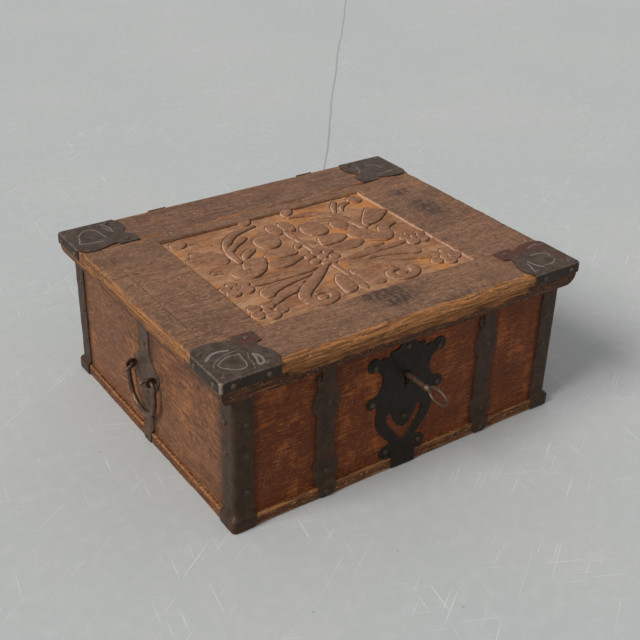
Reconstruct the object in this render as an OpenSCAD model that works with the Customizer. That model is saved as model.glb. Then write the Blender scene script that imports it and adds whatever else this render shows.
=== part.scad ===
/* [Body] */
// Width of the boarded box, without the irons
body_w = 393.4; // [360:0.2:430]
// Depth of the boarded box, front to back
body_d = 338.8; // [320:0.2:380]
// Height of the wall boards above the base board
wall_h = 150.6; // [145:0.2:190]
// Thickness of the wall boards
wall_t = 15; // [12:0.5:18]
// Thickness of the base board
base_t = 13; // [10:0.5:18]
// How far the base board stands out beyond the walls
base_ledge = 3.9; // [2.5:0.1:6]

/* [Lid] */
// Thickness of the lid boards
lid_t = 11.7; // [10:0.1:16]
// How far the lid boards reach beyond the walls at each side
lid_side = 17; // [13:0.1:24]
// How far the lid boards reach beyond the front wall
lid_front = 9.3; // [8.5:0.1:16]
// How far the back edge of the lid lies inside the back wall
lid_back = 2.6; // [2:0.1:4]
// Gap between the closed lid and the walls
lid_gap = 0.3; // [0.2:0.1:0.6]
// Depth of the narrow board along the back of the lid
lid_strip = 60; // [50:1:70]
// Radius of the rounded front edge of the lid
lid_nose = 6; // [3:0.5:8]
// Height of the moulding strips under the lid
mould_h = 16; // [12:0.5:22]
// Step from the edge of the lid boards in to the moulding
mould_step = 1; // [0.5:0.1:2]
// Run of the moulding's curve at the sides
mould_run = 6.1; // [3:0.1:8]
// Run of the moulding's curve at the front
mould_run_front = 3.6; // [2:0.1:4]

/* [Carving] */
// Width of the sunk field
field_w = 259; // [230:1:280]
// Depth of the sunk field, front to back
field_d = 207; // [190:1:215]
// How far the field and the carving lie left of the middle
field_shift = 4; // [0:0.5:8]
// Gap from the field to the joint with the narrow back board
field_to_joint = 16; // [10:0.5:24]
// Depth to which the field is sunk
field_sink = 3; // [2:0.1:4]
// Height of the carved leaves and flowers above the sunk field
relief_h = 2; // [1:0.1:2.6]

/* [Ironwork] */
// Thickness of the body irons
iron_t = 1.5; // [1:0.1:2]
// Thickness of the lid's corner plates
plate_t = 1.3; // [1:0.1:1.8]
// Height above the floor at which the irons end
foot_gap = 0.8; // [0.5:0.1:2]
// Height over which an iron bends out above the base board
joggle_h = 4; // [3:0.5:6]
// Width of a corner iron's leg on the front and the back
corner_leg_front = 20; // [16:0.5:24]
// Width of a corner iron's leg on the sides
corner_leg_side = 20; // [16:0.5:24]
// Width of a front or back strap
strap_w = 21; // [18:0.5:24]
// Width of a side strap
side_strap_w = 17; // [14:0.5:20]
// Distance from the middle to the left front strap and left hinge
strap_left = 97; // [85:0.5:110]
// Distance from the middle to the right front strap and right hinge
strap_right = 101; // [85:0.5:110]
// Reach of a lid corner plate along the front or back edge
plate_u = 67; // [62:0.5:74]
// Reach of a lid corner plate along the side edge
plate_v = 62; // [56:0.5:68]

/* [Nails] */
// Radius of a domed nail head
nail_head_r = 3; // [2.4:0.1:3.4]
// Height of a domed nail head
nail_head_h = 1.2; // [0.8:0.1:1.6]
// Radius of a nail's shank
nail_r = 1; // [0.8:0.1:1.2]
// Length of a nail below its head
nail_len = 9; // [7:0.5:9.5]

/* [Hinges] */
// Outer radius of a hinge knuckle
knuckle_r = 3.6; // [3.2:0.1:4.2]
// Radius of the hinge pin
hinge_pin_r = 1.8; // [1.5:0.1:2.1]
// Length of each knuckle
knuckle_len = 7; // [6:0.5:8]

/* [Handles] */
// Distance between the two eyes of a handle
eye_gap = 42.8; // [38:0.2:50]
// Height of the handle's pivot below the top of the walls
handle_drop = 79.1; // [70:0.5:90]
// How far the handles sit behind the middle of the side
handle_shift = 2.5; // [-5:0.5:5]
// Outer radius of a handle eye
eye_r = 5; // [4.4:0.1:5.4]
// Radius of the pin at each end of a handle
bail_pin_r = 2.3; // [2:0.1:2.6]
// Radius of the handle's rod
bail_r = 2.9; // [2.6:0.1:3.3]
// Drop of the handle from its pivot to the middle of its rod
bail_drop = 46; // [44:0.5:52]

/* [Lock and key] */
// How far the lock sits left of the middle
lock_shift = 2.5; // [0:0.5:10]
// Distance from the top of the walls down to the key
key_drop = 55.3; // [52:0.1:58]
// Radius of the key's shank
shank_r = 3; // [2.6:0.1:3.2]
// Reach of the key's bit from the shank's axis
bit_reach = 11.4; // [10.8:0.1:12]
// Length of shank that stands out from the lock plate
key_out = 32; // [28:0.5:40]
// Length of the key's bow
bow_len = 29; // [26:0.5:34]
// Width of the key's bow
bow_w = 18; // [15:0.5:22]
// How far the bolt slides
bolt_throw = 12; // [10:0.5:12]
// Depth of the lock case behind the front board
case_depth = 16; // [16:0.5:19]

/* [Hidden] */
$fn = 48;

oak = [0.42, 0.25, 0.14];
oak_edge = [0.60, 0.38, 0.18];
oak_field = [0.58, 0.38, 0.21];
iron = [0.20, 0.17, 0.15];
iron_bright = [0.38, 0.35, 0.32];

// Clearances: slack round a nail, a running fit, and a loose gap between bodies
slack = 0.1;
running = 0.05;
loose = 0.4;
reach = 40;

// Planes of the box
hw = body_w / 2;
hd = body_d / 2;
top_z = base_t + wall_h;
iron_x = hw + iron_t;
iron_y = hd + iron_t;
base_hw = hw + base_ledge;
base_hd = hd + base_ledge;
joggle_z = base_t + joggle_h;

// Planes of the lid
lid_z = top_z + lid_gap;
lid_top = lid_z + lid_t;
lid_hw = hw + lid_side;
lid_y0 = -hd - lid_front;
lid_y1 = hd - lid_back;
joint_y = lid_y1 - lid_strip;
mould_z = lid_z - mould_h;
mould_in_x = iron_x + loose;
mould_in_y = iron_y + loose;

// Hinge axis, on the line where lid and walls part
axis_y = hd + knuckle_r + loose;
axis_z = top_z + lid_gap / 2;
leaf_w = 3 * knuckle_len + 2 * lid_gap;
pin_head_h = 1.2;

// Lock and key
lock_x = -lock_shift;
key_z = top_z - key_drop;
board_in_y = -hd + wall_t;
case_y = board_in_y + case_depth;
case_wall = 1.5;
case_left = -36;
case_right = 42;
case_lug = 8;
case_low = -18;
case_high = 46;
bolt_t = 4;
bolt_mid_y = board_in_y + 7.4;
bolt_low = 7.8;
bolt_bar_h = 9;
nose_low = 26;
nose_end = 18;
staple_x = 24;
staple_w = 6;
staple_leg = 2;
staple_toe = nose_low - 5;
loop_w = bolt_t + 2 * staple_leg + 1.2;
keeper_left = -19.5;
keeper_right = 18;
keeper_w = 4.5;
bit_w = 9;
bit_t = 3;
slot_w = bit_t + 1.4;
slot_depth = bit_reach + 1.2;
hole_r = shank_r + 0.7;
bow_wire = 2;
bow_r = bow_w / 2 - bow_wire;
bow_straight = bow_len - bow_w;
bow_y = -iron_y - key_out;

// Handles
handle_z = top_z - handle_drop;
pivot_x = iron_x + eye_r + 1;
eye_w = 5;
arm_y = eye_gap / 2 + eye_w / 2 + bail_r + 0.6;
corner_r = 6;
arm_len = bail_drop - corner_r - arm_y;
tip_len = 8;
eye_shank_r = 2;
eye_shank_end = 12;

// Lozenge in the middle of a side strap
wing_w = eye_gap + 11;
wing_top = 22;
wing_low = 38;

// Nail places: [distance across, height] on a face, measured as each group says
corner_nail_z = [42, 82, 117];
strap_nails = [[0, 7], [0, 29], [0, 109.5]];
side_nails = [[0, 7], [0, 32], [0, 62], [0, 118]];
lock_nails = [[-40.5, -23], [40.5, -23], [-39.5, 19.5], [39.5, 19.5], [-21, -86.6], [21, -86.6], [0, -49.5], [0, 31]];
plate_top_nails = [[6, plate_v - 13.5], [plate_u - 11, plate_v - 10], [8, 7], [plate_u - 15, 7]];
plate_front_nails = [12, plate_u - 19];
plate_side_nails = [11, plate_v - 17.5];
leaf_nails = [-leaf_w / 2 + 5, leaf_w / 2 - 5];

// A 2D shape on X and Z made into a slab that reaches outward from y to -Y
module face_front(y) {
    translate([0, y, 0]) rotate([90, 0, 0]) linear_extrude(reach) children();
}

// The same for the back, and for the left and right faces on Y and Z
module face_back(y) {
    translate([0, y + reach, 0]) rotate([90, 0, 0]) linear_extrude(reach) children();
}

module face_left(x) {
    translate([x - reach, 0, 0]) rotate([90, 0, 90]) linear_extrude(reach) children();
}

module face_right(x) {
    translate([x, 0, 0]) rotate([90, 0, 90]) linear_extrude(reach) children();
}

// A domed nail at the origin, head towards +Z and shank towards -Z
module nail(head = nail_head_h) {
    dome = (nail_head_r * nail_head_r + head * head) / (2 * head);
    intersection() {
        translate([0, 0, head - dome]) sphere(dome);
        cylinder(h = head + 1, r = nail_head_r);
    }
    translate([0, 0, -nail_len]) cylinder(h = nail_len + 0.2, r = nail_r);
}

// The hole that a nail leaves in what it is driven through
module nail_hole() {
    translate([0, 0, -nail_len - slack]) cylinder(h = nail_len + 2, r = nail_r + slack);
}

// Children placed with +Z outward on the front, back or a side of the box
module on_front(x, y, z) {
    translate([x, y, z]) rotate([90, 0, 0]) children();
}

module on_back(x, y, z) {
    translate([x, y, z]) rotate([-90, 0, 0]) children();
}

module on_side(side, x, y, z) {
    translate([side * x, y, z]) rotate([0, side * 90, 0]) children();
}

// Every place where a domed nail holds an iron to the box
module at_body_nails() {
    for (sx = [-1, 1], sy = [-1, 1], z = corner_nail_z) {
        x = sx * (iron_x - corner_leg_front * 0.7);
        translate([x, sy * iron_y, z]) rotate([-sy * 90, 0, 0]) children();
        on_side(sx, iron_x, sy * (iron_y - corner_leg_side * 0.75), z) children();
    }
    for (x = [-strap_left, strap_right], n = strap_nails) {
        y = n[1] < joggle_z ? iron_y + base_ledge : iron_y;
        on_front(x + n[0], -y, n[1]) children();
        on_back(x - n[0], y, n[1]) children();
    }
    for (sx = [-1, 1], n = side_nails) {
        x = n[1] < joggle_z ? iron_x + base_ledge : iron_x;
        on_side(sx, x, handle_shift + n[0], n[1]) children();
    }
    for (n = lock_nails) {
        on_front(lock_x + n[0], -iron_y, key_z + n[1]) children();
    }
    for (x = [case_left - case_lug / 2, case_right + case_lug / 2], z = [case_low + 8, case_high - 8]) {
        on_back(lock_x + x, board_in_y + case_wall, key_z + z) children();
    }
}

// Every place where a domed nail holds a plate or leaf to the lid
module at_lid_nails() {
    for (sx = [-1, 1], back = [0, 1]) {
        corner(sx, back) {
            for (n = plate_top_nails) {
                translate([n[0], n[1], lid_top + plate_t]) children();
            }
            for (u = plate_front_nails) {
                translate([u, -plate_t, lid_z + lid_t / 2]) rotate([90, 0, 0]) children();
            }
            for (v = plate_side_nails) {
                translate([-plate_t, v, lid_z + lid_t / 2]) rotate([0, -90, 0]) children();
            }
        }
    }
    for (x = [-strap_left, strap_right], u = leaf_nails) {
        on_back(x + u, lid_y1 + iron_t, lid_z + lid_t * 0.55) children();
    }
    for (u = [-1, 1]) {
        translate([lock_x + staple_x + u * 13, bolt_mid_y, lid_z - iron_t]) rotate([180, 0, 0]) children();
    }
}

// Children drawn from one corner of the lid: first axis along the front or back edge, second along the side
module corner(sx, back) {
    y = back == 1 ? lid_y1 : lid_y0;
    translate([sx * lid_hw, y, 0]) mirror([sx > 0 ? 1 : 0, 0, 0]) mirror([0, back, 0]) children();
}

// Board nails: three through each end of the front and back boards, and rows under the base board
module at_board_nails() {
    edge_x = hw - wall_t / 2;
    edge_y = hd - wall_t / 2;
    for (sx = [-1, 1], sy = [-1, 1], z = [base_t + 18, (base_t + top_z) / 2 + 7, top_z - 18]) {
        translate([sx * edge_x, sy * hd, z]) rotate([-sy * 90, 0, 0]) children();
    }
    for (i = [-1.5:1:1.5], sy = [-1, 1]) {
        translate([i * edge_x / 2, sy * edge_y, 0]) rotate([180, 0, 0]) children();
    }
    for (i = [-1:1:1], sx = [-1, 1]) {
        translate([sx * edge_x, i * edge_y * 0.6, 0]) rotate([180, 0, 0]) children();
    }
}

module board_nail(fit) {
    translate([0, 0, -32 - fit]) cylinder(h = 32 + fit, r = 1.3 + fit);
    translate([0, 0, -1.2]) cylinder(h = 1.2 + fit * 5, r = 2.4 + fit);
}

// Holes for all the nails and eye shanks, taken out of the boards
module body_holes() {
    at_body_nails() nail_hole();
    at_board_nails() board_nail(slack);
    for (side = [-1, 1]) {
        eye_shanks(side, slack);
    }
}

module base_board() {
    color(oak_edge) difference() {
        translate([-base_hw, -base_hd, 0]) cube([2 * base_hw, 2 * base_hd, base_t]);
        body_holes();
    }
}

module key_passage() {
    translate([lock_x, -hd - 1, key_z]) rotate([-90, 0, 0]) cylinder(h = wall_t + 2, r = hole_r);
    translate([lock_x - slot_w / 2, -hd - 1, key_z - slot_depth]) cube([slot_w, wall_t + 2, slot_depth]);
}

module front_board() {
    color(oak) difference() {
        translate([-hw, -hd, base_t]) cube([body_w, wall_t, wall_h]);
        key_passage();
        body_holes();
    }
}

module back_board() {
    color(oak) difference() {
        translate([-hw, hd - wall_t, base_t]) cube([body_w, wall_t, wall_h]);
        body_holes();
    }
}

module side_board(side) {
    x = side > 0 ? hw - wall_t : -hw;
    color(oak) difference() {
        translate([x, -hd + wall_t, base_t]) cube([wall_t, body_d - 2 * wall_t, wall_h]);
        body_holes();
    }
}

// Half section of the box, grown outward by t, with the bend over the base board
module wall_section(half, t, low, high) {
    out = half + t;
    foot = out + base_ledge;
    polygon([[-out, high], [-out, joggle_z], [-foot, base_t], [-foot, low],
             [foot, low], [foot, base_t], [out, joggle_z], [out, high]]);
}

module wall_block(t, low, high) {
    intersection() {
        translate([-body_w, 0, 0]) rotate([90, 0, 90]) linear_extrude(2 * body_w) wall_section(hd, t, low, high);
        translate([0, body_d, 0]) rotate([90, 0, 0]) linear_extrude(2 * body_d) wall_section(hw, t, low, high);
    }
}

// Sheet iron laid over the whole box, from which each iron is cut
module iron_sheet() {
    difference() {
        wall_block(iron_t, foot_gap, top_z - 1);
        wall_block(0, foot_gap - 1, top_z);
    }
}

module corner_iron(sx, sy) {
    leg_x = iron_x - corner_leg_front;
    leg_y = iron_y - corner_leg_side;
    color(iron) difference() {
        intersection() {
            iron_sheet();
            scale_side(sx, sy) union() {
                translate([leg_x, hd - 1, 0]) cube([reach, reach, lid_top]);
                translate([hw - 1, leg_y, 0]) cube([reach, reach, lid_top]);
            }
        }
        at_body_nails() nail_hole();
    }
}

// Children drawn at the back right corner, mirrored to the corner asked for
module scale_side(sx, sy) {
    mirror([sx < 0 ? 1 : 0, 0, 0]) mirror([0, sy < 0 ? 1 : 0, 0]) children();
}

// Half of a strap's waved edge, from the floor up: a tongue, a swelling, a plain length and a barbed lobe
function strap_edge(half) = [
    [half - 4.5, 0], [half - 1.5, 8], [half + 3, 28], [half + 3.5, 37], [half, 45],
    [half, 96], [half + 4, 101], [half + 5.5, 106], [half + 5, 112], [half, 129], [half - 2, 138], [half - 2, top_z]
];

// Waved outline of a strap on X and Z
module strap_outline() {
    edge = strap_edge(strap_w / 2);
    polygon(concat(edge, [for (i = [len(edge) - 1:-1:0]) [-edge[i][0], edge[i][1]]]));
}

module front_strap(x) {
    color(iron) difference() {
        intersection() {
            iron_sheet();
            translate([x, 0, 0]) face_front(-hd + 1) strap_outline();
        }
        at_body_nails() nail_hole();
    }
}

// Lozenge and strap of a side, on Y and Z from the handle's pivot
module side_outline() {
    translate([handle_shift, handle_z]) {
        translate([-side_strap_w / 2, -handle_z]) square([side_strap_w, top_z]);
        polygon([[-side_strap_w / 2, wing_top], [-wing_w / 2 + 3, 6], [-wing_w / 2 + 9, -14], [-side_strap_w / 2, -wing_low],
                 [side_strap_w / 2, -wing_low], [wing_w / 2 - 9, -14], [wing_w / 2 - 3, 6], [side_strap_w / 2, wing_top]]);
        for (s = [-1, 1]) {
            translate([s * eye_gap / 2, 0]) circle(7);
        }
    }
}

module side_strap(side) {
    color(iron) difference() {
        intersection() {
            iron_sheet();
            if (side > 0) {
                face_right(hw - 1) side_outline();
            } else {
                face_left(-hw + 1) side_outline();
            }
        }
        at_body_nails() nail_hole();
        eye_shanks(side, slack);
    }
}

// Hinges: two knuckles on the body strap, one on the lid leaf, one pin through them
module knuckle(x, len) {
    translate([x, axis_y, axis_z]) rotate([0, 90, 0]) cylinder(h = len, r = knuckle_r);
}

module hinge_bore(x) {
    translate([x - leaf_w, axis_y, axis_z]) rotate([0, 90, 0]) cylinder(h = 2 * leaf_w, r = hinge_pin_r + running);
}

module hinge_strap(x) {
    color(iron) difference() {
        union() {
            intersection() {
                iron_sheet();
                translate([x, 0, 0]) face_back(hd - 1) mirror([1, 0]) strap_outline();
            }
            for (s = [-1, 1]) {
                start = s < 0 ? -leaf_w / 2 : leaf_w / 2 - knuckle_len;
                knuckle(x + start, knuckle_len);
                translate([x + start, hd, top_z - 8]) cube([knuckle_len, iron_t, 8]);
            }
        }
        hinge_bore(x);
        translate([x - knuckle_len / 2 - lid_gap, hd - 1, axis_z - knuckle_r - loose])
            cube([knuckle_len + 2 * lid_gap, knuckle_r, 2 * knuckle_r]);
        at_body_nails() nail_hole();
    }
}

module hinge_pin(x) {
    color(iron_bright) translate([x - leaf_w / 2 - pin_head_h, axis_y, axis_z]) rotate([0, 90, 0]) {
        cylinder(h = leaf_w + 2 * pin_head_h, r = hinge_pin_r);
        cylinder(h = pin_head_h, r = hinge_pin_r + 0.8);
        translate([0, 0, leaf_w + pin_head_h]) cylinder(h = pin_head_h, r = hinge_pin_r + 0.8);
    }
}

module hinge_leaf(x) {
    color(iron) difference() {
        union() {
            translate([x - leaf_w / 2, lid_y1, lid_z]) cube([leaf_w, iron_t, lid_t]);
            translate([x - knuckle_len / 2, lid_y1, lid_z + 0.5]) cube([knuckle_len, axis_y - lid_y1, knuckle_r - 0.9]);
            knuckle(x - knuckle_len / 2, knuckle_len);
        }
        hinge_bore(x);
        at_lid_nails() nail_hole();
    }
}

// Lock plate outline, from the key's axis, with its heart and keyhole
module lock_outline() {
    difference() {
        union() {
            translate([-40, -27]) square([80, 51]);
            polygon([[-21, -70], [-16, -86], [16, -86], [21, -70]]);
            translate([-21, 15]) square([42, 16]);
            translate([0, 26.5]) circle(12.8);
            translate([0, -42]) circle(35.5);
            translate([-15, -key_z]) square([30, key_z - 70]);
            for (s = [-1, 1]) {
                translate([s * 40, 21.5]) circle(8);
                translate([s * 41, -22]) circle(6.6);
                translate([s * 21, -86.6]) circle(7.5);
            }
        }
        for (s = [-1, 1]) {
            translate([s * 46.5, 0.5]) circle(18);
        }
        heart();
        circle(hole_r);
        translate([-slot_w / 2, -slot_depth]) square([slot_w, slot_depth]);
    }
}

module heart() {
    difference() {
        polygon([[-22, -42], [-21.5, -49], [-18, -56], [-10, -67], [0, -80],
                 [10, -67], [18, -56], [21.5, -49], [22, -42]]);
        polygon([[-16, -41], [-13, -49.5], [-8, -58], [0, -63.5], [8, -58], [13, -49.5], [16, -41]]);
    }
}

module lock_plate() {
    color(iron) difference() {
        intersection() {
            iron_sheet();
            translate([lock_x, 0, key_z]) face_front(-hd + 1) lock_outline();
        }
        at_body_nails() nail_hole();
    }
}

// Lock case: a tray against the inside of the front board, nailed through a lug at each side,
// with two keepers that guide the bolt and a slot at the top for the staple
module lock_case() {
    inner_w = case_right - case_left - 2 * case_wall;
    inner_h = case_high - case_low - 2 * case_wall;
    keeper_d = case_y - case_wall - bolt_mid_y + bolt_t / 2 + 2;
    color(iron) difference() {
        translate([lock_x, 0, key_z]) difference() {
            union() {
                difference() {
                    translate([case_left, board_in_y, case_low])
                        cube([case_right - case_left, case_depth, case_high - case_low]);
                    translate([case_left + case_wall, board_in_y - 1, case_low + case_wall])
                        cube([inner_w, case_depth + 1 - case_wall, inner_h]);
                }
                for (x = [case_left - case_lug, case_right]) {
                    translate([x, board_in_y, case_low]) cube([case_lug, case_wall, case_high - case_low]);
                }
                for (x = [keeper_left, keeper_right]) {
                    translate([x, bolt_mid_y - bolt_t / 2 - 2, bolt_low - 2])
                        cube([keeper_w, keeper_d, bolt_bar_h + 4]);
                }
            }
            translate([case_left + case_wall, bolt_mid_y - bolt_t / 2 - loose, bolt_low - loose])
                cube([inner_w, bolt_t + 2 * loose, bolt_bar_h + 2 * loose]);
            rotate([-90, 0, 0]) translate([0, 0, case_y - 4]) cylinder(h = 6, r = shank_r + running);
            translate([staple_x - staple_w / 2 - 1, board_in_y - 1, case_high - 3])
                cube([staple_w + 2, bolt_mid_y + loop_w / 2 + 2 - board_in_y + 1, 6]);
        }
        at_body_nails() nail_hole();
    }
}

// Lock bolt: a bar with a wide notch for the bit, and a nose higher up that passes through the staple.
// The notch's middle passes over the key when the bit points up, half way through the turn.
module lock_bolt() {
    notch_half = sqrt(pow(bit_reach + 0.3, 2) - pow(bolt_low, 2)) + 1.2;
    bar_left = keeper_left - bolt_throw;
    bar_right = keeper_right + keeper_w + 1.5;
    color(iron_bright) translate([lock_x, bolt_mid_y - bolt_t / 2, key_z]) difference() {
        union() {
            translate([bar_left, 0, bolt_low]) cube([bar_right - bar_left, bolt_t, bolt_bar_h]);
            translate([-4, 0, bolt_low]) cube([9, bolt_t, nose_low + bolt_bar_h - bolt_low]);
            translate([-4, 0, nose_low]) cube([nose_end + 4, bolt_t, bolt_bar_h]);
        }
        translate([-bolt_throw / 2 - notch_half, -1, bolt_low - 1])
            cube([2 * notch_half, bolt_t + 2, bit_reach + 0.8 - bolt_low + 1]);
    }
}

// Flat spring from the left wall of the case, which lies just above the bar between keeper and nose
module bolt_spring() {
    bar_top = bolt_low + bolt_bar_h + 0.4;
    root_x = case_left + case_wall;
    root_z = bar_top + 13;
    bend_x = keeper_left + keeper_w + 4;
    leaf_t = 0.8;
    color(iron_bright) translate([lock_x, bolt_mid_y + 1.5, key_z]) rotate([90, 0, 0]) linear_extrude(3)
        polygon([[root_x, root_z], [root_x + 5, root_z], [bend_x, bar_top], [bend_x + 4, bar_top],
                 [bend_x + 4, bar_top + leaf_t], [bend_x + 0.3, bar_top + leaf_t],
                 [root_x + 5.3, root_z + leaf_t], [root_x, root_z + leaf_t]]);
}

// Key: shank along Y, bit inside the case, long round bow outside
module key() {
    bow_far = bow_y - bow_r - bow_wire;
    color(iron_bright) translate([lock_x, 0, key_z]) {
        translate([0, bow_y - 1, 0]) rotate([-90, 0, 0]) cylinder(h = case_y + 0.8 - bow_y + 1, r = shank_r);
        translate([0, bow_y + 2, 0]) rotate([-90, 0, 0]) cylinder(h = 3, r = shank_r + 0.7);
        translate([-bit_t / 2, bolt_mid_y - bit_w / 2, -bit_reach]) cube([bit_t, bit_w, bit_reach]);
        for (s = [0, 1]) {
            y = bow_far - s * bow_straight;
            turn = s == 0 ? 0 : 180;
            translate([0, y, 0]) rotate([0, 90, 0]) rotate([0, 0, turn])
                rotate_extrude(angle = 180) translate([bow_r, 0]) circle(bow_wire);
        }
        for (s = [-1, 1]) {
            translate([0, bow_far, s * bow_r]) rotate([90, 0, 0]) cylinder(h = bow_straight, r = bow_wire);
        }
    }
}

// Handle eyes: a ring with its hole along Y, and a shank driven through strap and board
module eye_shanks(side, fit) {
    for (s = [-1, 1]) {
        on_side(side, hw - eye_shank_end, handle_shift + s * eye_gap / 2, handle_z)
            cylinder(h = pivot_x - hw + eye_shank_end - eye_r + 1, r = eye_shank_r + fit);
    }
}

module handle_eyes(side) {
    color(iron) difference() {
        union() {
            eye_shanks(side, 0);
            for (s = [-1, 1]) {
                translate([side * pivot_x, handle_shift + s * eye_gap / 2 + eye_w / 2, handle_z])
                    rotate([90, 0, 0]) cylinder(h = eye_w, r = eye_r);
            }
        }
        translate([side * pivot_x, handle_shift + eye_gap, handle_z])
            rotate([90, 0, 0]) cylinder(h = 2 * eye_gap, r = bail_pin_r + slack);
    }
}

// Handle: a hanging bow whose ends turn in through the eyes and finish in a small outward tip
module bail(side) {
    inner = eye_gap / 2 - eye_w / 2 - 2;
    color(iron) translate([side * pivot_x, handle_shift, handle_z]) {
        translate([0, 0, -corner_r - arm_len]) rotate([0, 0, 90]) rotate([-90, 0, 0])
            rotate_extrude(angle = 180) translate([arm_y, 0]) circle(bail_r);
        for (s = [-1, 1]) {
            translate([0, s * arm_y, -corner_r - arm_len]) cylinder(h = arm_len + corner_r, r = bail_r);
            translate([0, s * arm_y, 0]) sphere(bail_r);
            translate([0, s * inner, 0]) rotate([-s * 90, 0, 0]) cylinder(h = arm_y - inner, r = bail_pin_r);
            translate([0, s * inner, 0]) sphere(bail_pin_r);
            translate([0, s * inner, 0]) rotate([0, side * 90, 0]) cylinder(h = tip_len, r = 1.4);
        }
    }
}

// Lid: the wide board with its rounded front edge, sunk field and carving
module lid_section() {
    translate([lid_y0 + lid_nose, lid_z]) square([joint_y - lid_y0 - lid_nose, lid_t]);
    translate([lid_y0, lid_z]) square([lid_nose, lid_t - lid_nose]);
    intersection() {
        translate([lid_y0 + lid_nose, lid_top - lid_nose]) circle(lid_nose);
        translate([lid_y0, lid_top - lid_nose]) square(lid_nose);
    }
}

module lid_board() {
    field_y = joint_y - field_to_joint - field_d;
    color(oak) difference() {
        translate([-lid_hw, 0, 0]) rotate([90, 0, 90]) linear_extrude(2 * lid_hw) lid_section();
        translate([-field_w / 2 - field_shift, field_y, lid_top - field_sink]) cube([field_w, field_d, field_sink + 1]);
        at_lid_nails() nail_hole();
    }
    color(oak_field) translate([-field_shift, field_y, lid_top - field_sink - 0.5]) linear_extrude(relief_h + 0.5) carving();
}

// A leaf: the lens where two equal circles cross, from the origin along +X
module leaf(len, wide) {
    r = (len * len + wide * wide) / (4 * wide);
    intersection() {
        translate([len / 2, r - wide / 2]) circle(r);
        translate([len / 2, wide / 2 - r]) circle(r);
    }
}

module flower(r) {
    circle(r * 0.35);
    for (i = [0:4]) {
        rotate(90 + i * 72) translate([r * 0.6, 0]) circle(r * 0.42);
    }
}

module scroll(r) {
    difference() {
        circle(r);
        circle(r * 0.68);
    }
    circle(r * 0.42);
}

// The carving, as if the field were mirrored about its middle; Y runs from the front edge of the field
module carving() {
    for (s = [0, 1]) mirror([s, 0]) {
        translate([-111, 22]) flower(18);
        translate([-111, 74]) flower(16);
        translate([-48, 23]) scroll(21);
        translate([-6, 68]) rotate(205) leaf(100, 15);
        translate([-6, 72]) rotate(190) leaf(92, 14);
        translate([-14, 50]) rotate(262) leaf(46, 11);
        translate([-24, 96]) rotate(176) leaf(50, 22);
        translate([-66, 92]) rotate(150) leaf(58, 24);
        translate([-60, 112]) rotate(120) leaf(70, 16);
        translate([-30, 150]) circle(15);
        translate([-72, 140]) rotate(60) leaf(60, 16);
        translate([-115, 188]) circle(9);
        translate([-28, 196]) circle(8);
        translate([-80, 150]) rotate(140) leaf(52, 14);
    }
    translate([0, 90]) flower(19);
    translate([0, 62]) rotate(270) leaf(56, 12);
    translate([0, 108]) rotate(90) leaf(80, 14);
}

module lid_back_board() {
    color(oak) difference() {
        translate([-lid_hw, joint_y, lid_z]) cube([2 * lid_hw, lid_y1 - joint_y, lid_t]);
        at_lid_nails() nail_hole();
    }
}

// Moulding: the lid's outline with a convex curve under a small step, hollow inside, cut at the corners
module mould_section(half, run) {
    rise = mould_h - 1.5;
    r = (rise * rise + run * run) / (2 * run);
    out = half - mould_step;
    intersection() {
        translate([-out, mould_z]) square([2 * out, mould_h]);
        union() {
            translate([-out, lid_z - 1.5]) square([2 * out, 1.5]);
            translate([r - out, mould_z]) square([2 * (out - r), mould_h]);
            intersection() {
                translate([out - r, lid_z - 1.5]) circle(r);
                translate([0, mould_z]) square([out, mould_h]);
            }
            intersection() {
                translate([r - out, lid_z - 1.5]) circle(r);
                translate([-out, mould_z]) square([out, mould_h]);
            }
        }
    }
}

module moulding_ring() {
    $fn = 96;
    difference() {
        intersection() {
            translate([0, body_d, 0]) rotate([90, 0, 0]) linear_extrude(2 * body_d) mould_section(lid_hw, mould_run);
            translate([-body_w, 0, 0]) rotate([90, 0, 90]) linear_extrude(2 * body_w)
                mould_section(-lid_y0, mould_run_front);
        }
        translate([-mould_in_x, -mould_in_y, mould_z - 1]) cube([2 * mould_in_x, body_d * 2, mould_h + 2]);
        translate([-body_w, lid_y1, mould_z - 1]) cube([2 * body_w, body_d, mould_h + 2]);
    }
}

// Plan of the cut between the front strip and a side strip
function mitre(far) = [[mould_in_x, -mould_in_y], [mould_in_x + (lid_hw - mould_in_x) * far,
                        -mould_in_y - (-lid_y0 - mould_in_y) * far]];

module lid_moulding_front() {
    color(oak) difference() {
        intersection() {
            moulding_ring();
            translate([0, 0, mould_z - 1]) linear_extrude(mould_h + 2)
                polygon([mitre(0)[0], mitre(2)[1], [-mitre(2)[1][0], mitre(2)[1][1]], [-mitre(0)[0][0], mitre(0)[0][1]]]);
        }
        at_lid_nails() nail_hole();
    }
}

module lid_moulding_side(side) {
    color(oak) intersection() {
        moulding_ring();
        mirror([side < 0 ? 1 : 0, 0, 0]) translate([0, 0, mould_z - 1]) linear_extrude(mould_h + 2)
            polygon([mitre(0)[0], mitre(2)[1], [mitre(2)[1][0], lid_y1 + 1], [mould_in_x, lid_y1 + 1]]);
    }
}

// Corner plate outline from the lid's corner: two lobes and a square finial that points to the middle
module plate_outline() {
    waist_u = plate_u - 8;
    waist_v = plate_v - 22;
    intersection() {
        union() {
            polygon([[0, 0], [waist_u, 0], [waist_u, waist_v], [plate_u - 24, plate_v - 7], [0, plate_v - 12]]);
            translate([16, plate_v - 16]) circle(16);
            polygon([[16, plate_v], [plate_u - 24, plate_v - 7], [plate_u - 24, plate_v - 22], [16, plate_v - 22]]);
            translate([plate_u - 17, 16]) circle(16.5);
            polygon([[plate_u - 24, plate_v - 7], [plate_u - 22, plate_v - 1], [plate_u, plate_v - 2],
                     [plate_u, plate_v - 19], [waist_u, waist_v], [plate_u - 24, waist_v]]);
        }
        square([plate_u, plate_v]);
    }
}

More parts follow.
